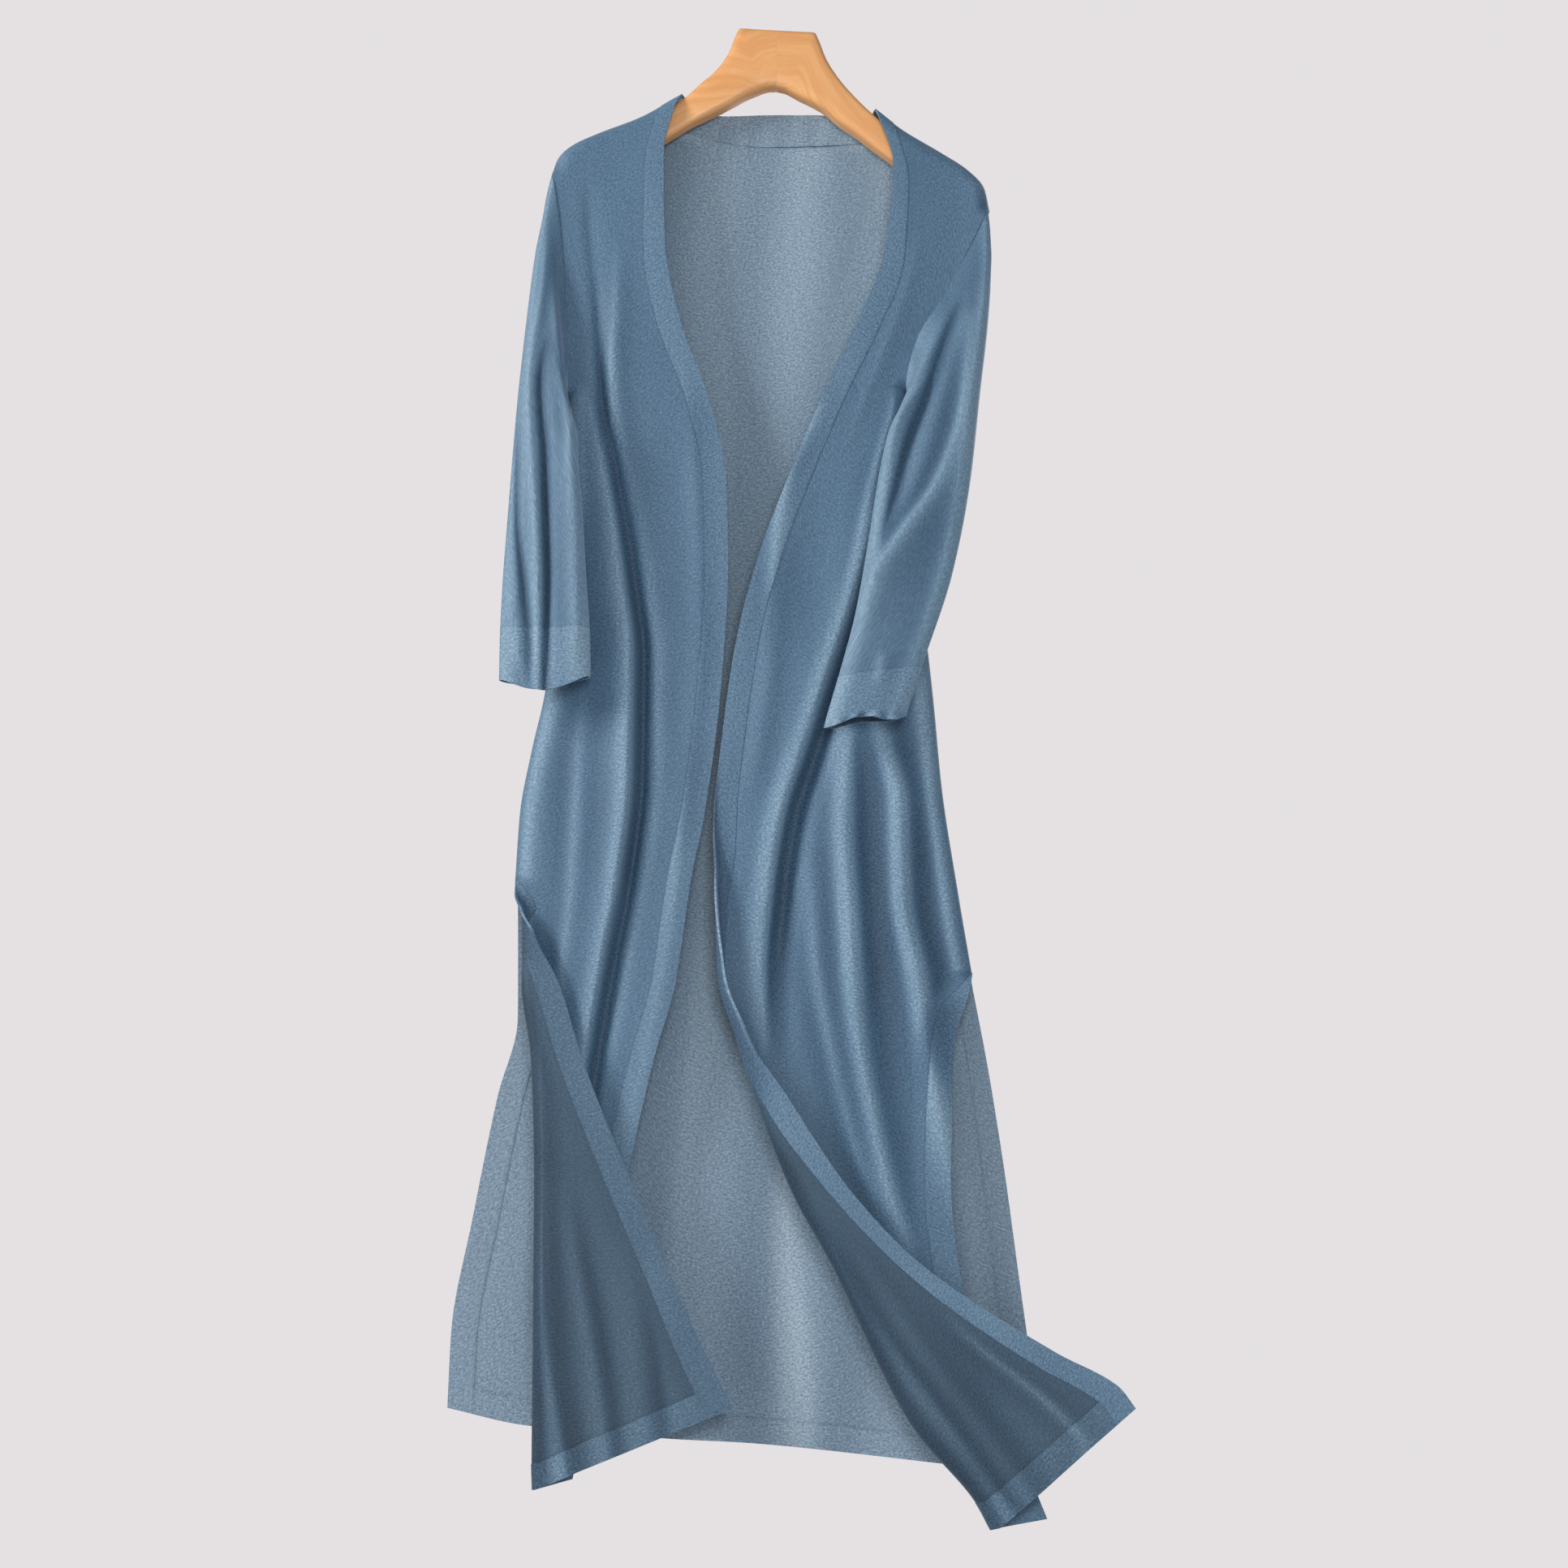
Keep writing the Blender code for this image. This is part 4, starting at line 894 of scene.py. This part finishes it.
leftSleeve = {
    "name": "left", "rows": sleeveLeftRows, "side": sideLeft, "cuff": 44.0, "half": 56, "lines": 200,
    "flip": False, "swell": 0.8, "seed": 57, "sag": 1.5, "fray": 4.5,
    "folds": (
        (8.0, 30.0, 0.0, (
            (-270, 174, 0), (-321, 169, 4), (-373, 162, 6.5), (-439, 140, 8), (-490, 107, 8.5), (-533, 79, 7),
            (-562, 66, 4), (-604, 58, 0))),
        (6.5, 8.0, 0.0, (
            (-200, 172, 0), (-246, 158, 3.0), (-299, 137, 4.0), (-352, 119, 4.5), (-402, 99, 3.5), (-436, 90, 3),
            (-482, 84, 2), (-516, 80, 0))),
        (5.0, 6.0, 0.0, (
            (-260, 162, 0), (-299, 150, -3), (-352, 133, -4.5), (-406, 114, -5), (-446, 104, -4), (-500, 88, 0))),
        (6.0, 6.0, 0.0, (
            (-590, 92, 0), (-608, 88, 1.6), (-624, 84, 0))))}


def sleeveRings(item, level):
    # rings of a sleeve at the given distances down it, from the outer edge over the front and back behind
    data = table(item["rows"])
    spacing = spacingOf(data)
    found = smooth(level, spacing, data)
    half, side = item["half"], item["side"]
    share = (1 - np.cos(np.pi * np.arange(half + 1) / half)) / 2
    share = 0.6 * share + 0.4 * np.arange(half + 1) / half
    arm = side[(side[:, 1] <= data[0, 1]) & (side[:, 1] >= data[0, 3])]
    seat = walk(arm, share * lengths(arm)[-1])
    outer, inner = found[:, None, 0:2], found[:, None, 2:4]
    toSeat = seat - (data[0, 0:2] + share[:, None] * (data[0, 2:4] - data[0, 0:2]))
    lines = outer + share[:, None] * (inner - outer) + toSeat * np.clip(1 - level / 60.0, 0.0, None)[:, None, None]
    shape = turning(np.linalg.norm(lines - outer, axis=-1)) * turning(np.linalg.norm(lines - inner, axis=-1))
    middle = found[:, 4:5] + share * (found[:, 5:6] - found[:, 4:5])
    settled = blend(level, 4.0, 40.0)[:, None] * shape
    folded = sum(fold(lines, *one) for one in item["folds"]) * settled
    rough = item["swell"] * settled
    flatX, flatZ = lines[..., 0], lines[..., 1]
    front = middle - found[:, 6:7] * shape - folded - rough * wander(flatX, flatZ, item["seed"], 60.0)
    rear = middle + found[:, 6:7] * shape - 0.35 * folded + rough * wander(flatX, flatZ, item["seed"] + 1, 60.0)
    drop = blend(level, spacing[-1] - item["cuff"] - 10, spacing[-1])[:, None]
    droop = item["sag"] * drop * np.sin(np.pi * share)
    last = blend(level, spacing[-1] - 9, spacing[-1])[:, None]
    ragged = item["fray"] * last * wander(flatX * 4, flatZ, 77, 60.0)
    front = front + 1.2 * item["fray"] * last * wander(flatX * 5, flatZ, 78, 60.0) * shape
    fronts = np.stack([flatX, front, flatZ - droop + ragged], axis=-1)
    rears = np.stack([flatX, rear, flatZ - 0.3 * droop + 0.4 * ragged], axis=-1)
    rears[:, 0], rears[:, -1] = fronts[:, 0], fronts[:, -1]
    return np.concatenate([fronts, rears[:, ::-1][:, 1:]], axis=1)


def makeSleeve(item):
    data = table(item["rows"])
    spacing = spacingOf(data)
    cuffTop, gap = spacing[-1] - item["cuff"], garment["gap"]
    tube = sleeveRings(item, np.linspace(0.05, cuffTop - gap, item["lines"]))
    name, flip = item["name"], item["flip"]
    piece = makeCloth(name + "_sleeve_cloth", tube, garment["knit"], (outerKnit, innerKnit), "ends", flip, closed=True)
    settle(piece, name + "_sleeve")
    end = sleeveRings(item, np.linspace(cuffTop + gap, spacing[-1], 26))
    piece = makeCloth(name + "_cuff_cloth", end, garment["cuffWall"], (bandKnit, innerKnit), "top", flip, closed=True)
    settle(piece, name + "_cuff")


makeSleeve(rightSleeve)
makeSleeve(leftSleeve)
print("sleeves hung")


hangerRightRows = (("upper x", "upper z", "lower x", "lower z", "half depth"),
                  (0, 0, 0, -55, 12), (-18, 1, -7, -55.5, 12), (-33, 2, -12, -57, 12), (-37.5, -6, -18, -59.5, 12),
                  (-43, -21, -27, -63.5, 12), (-54, -38, -40, -71, 11.5), (-71, -54, -57, -80, 11),
                  (-80, -63, -65.5, -84.5, 10.5), (-89, -69, -74, -89, 9.5), (-122, -88.5, -107, -110, 9.5),
                  (-160, -106, -147, -131, 9.5), (-179, -117, -168, -141, 9), (-187, -126, -179, -145, 7.5),
                  (-190.5, -132, -186, -143, 4))
hangerLeftRows = (("upper x", "upper z", "lower x", "lower z", "half depth"),
                 (0, 0, 0, -55, 12), (18, -1, 8, -57, 12), (34, -2, 14, -60.5, 12), (38, -9, 20, -64, 12),
                 (45, -28, 30, -69, 12), (57, -48, 43, -77, 11.5), (71, -65, 56, -89, 11),
                 (85, -79.5, 70, -99, 10.5), (110, -100, 96, -120, 10), (145, -124.5, 131, -146, 9.5),
                 (167, -140.5, 155, -163, 9), (177, -152, 168, -172, 7.5), (181, -159, 175, -172, 4))
hanger = {"along": 90, "around": 64, "edge": 0.45, "joint": 0.05, "grainShift": 0.37}


def makeHangerHalf(node, rows, joint):
    # one carved half, glued in the middle; joint is the side it lies on, -1 for the wearer's right
    data = table(rows)
    spacing = lengths((data[:, 0:2] + data[:, 2:4]) / 2)
    found = smooth(np.linspace(0, spacing[-1], hanger["along"]), spacing, data)
    turn = np.linspace(0, 2 * np.pi, hanger["around"] + 1)
    up = (np.sign(np.cos(turn)) * np.abs(np.cos(turn)) ** hanger["edge"])[:, None]
    side = np.sign(np.sin(turn)) * np.abs(np.sin(turn)) ** hanger["edge"]
    rings = []
    for row in found:
        centre, reach = (row[0:2] + row[2:4]) / 2, (row[0:2] - row[2:4]) / 2
        line = centre + up * reach
        rings.append(np.column_stack([line[:, 0], side * row[4] * -joint, line[:, 1]]))
    points = np.array(rings)
    points[0, :, 0] = joint * hanger["joint"]
    points[:, -1] = points[:, 0]
    shift = (joint * hanger["grainShift"], 0.0)
    piece = makeCloth(node + "_wood", points, 0.0, (warmWood,), "none", closed=True, shift=shift)
    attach(piece, "root")
    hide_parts(node)


makeHangerHalf("hanger_right_half", hangerRightRows, -1)
makeHangerHalf("hanger_left_half", hangerLeftRows, 1)
print("hanger made")
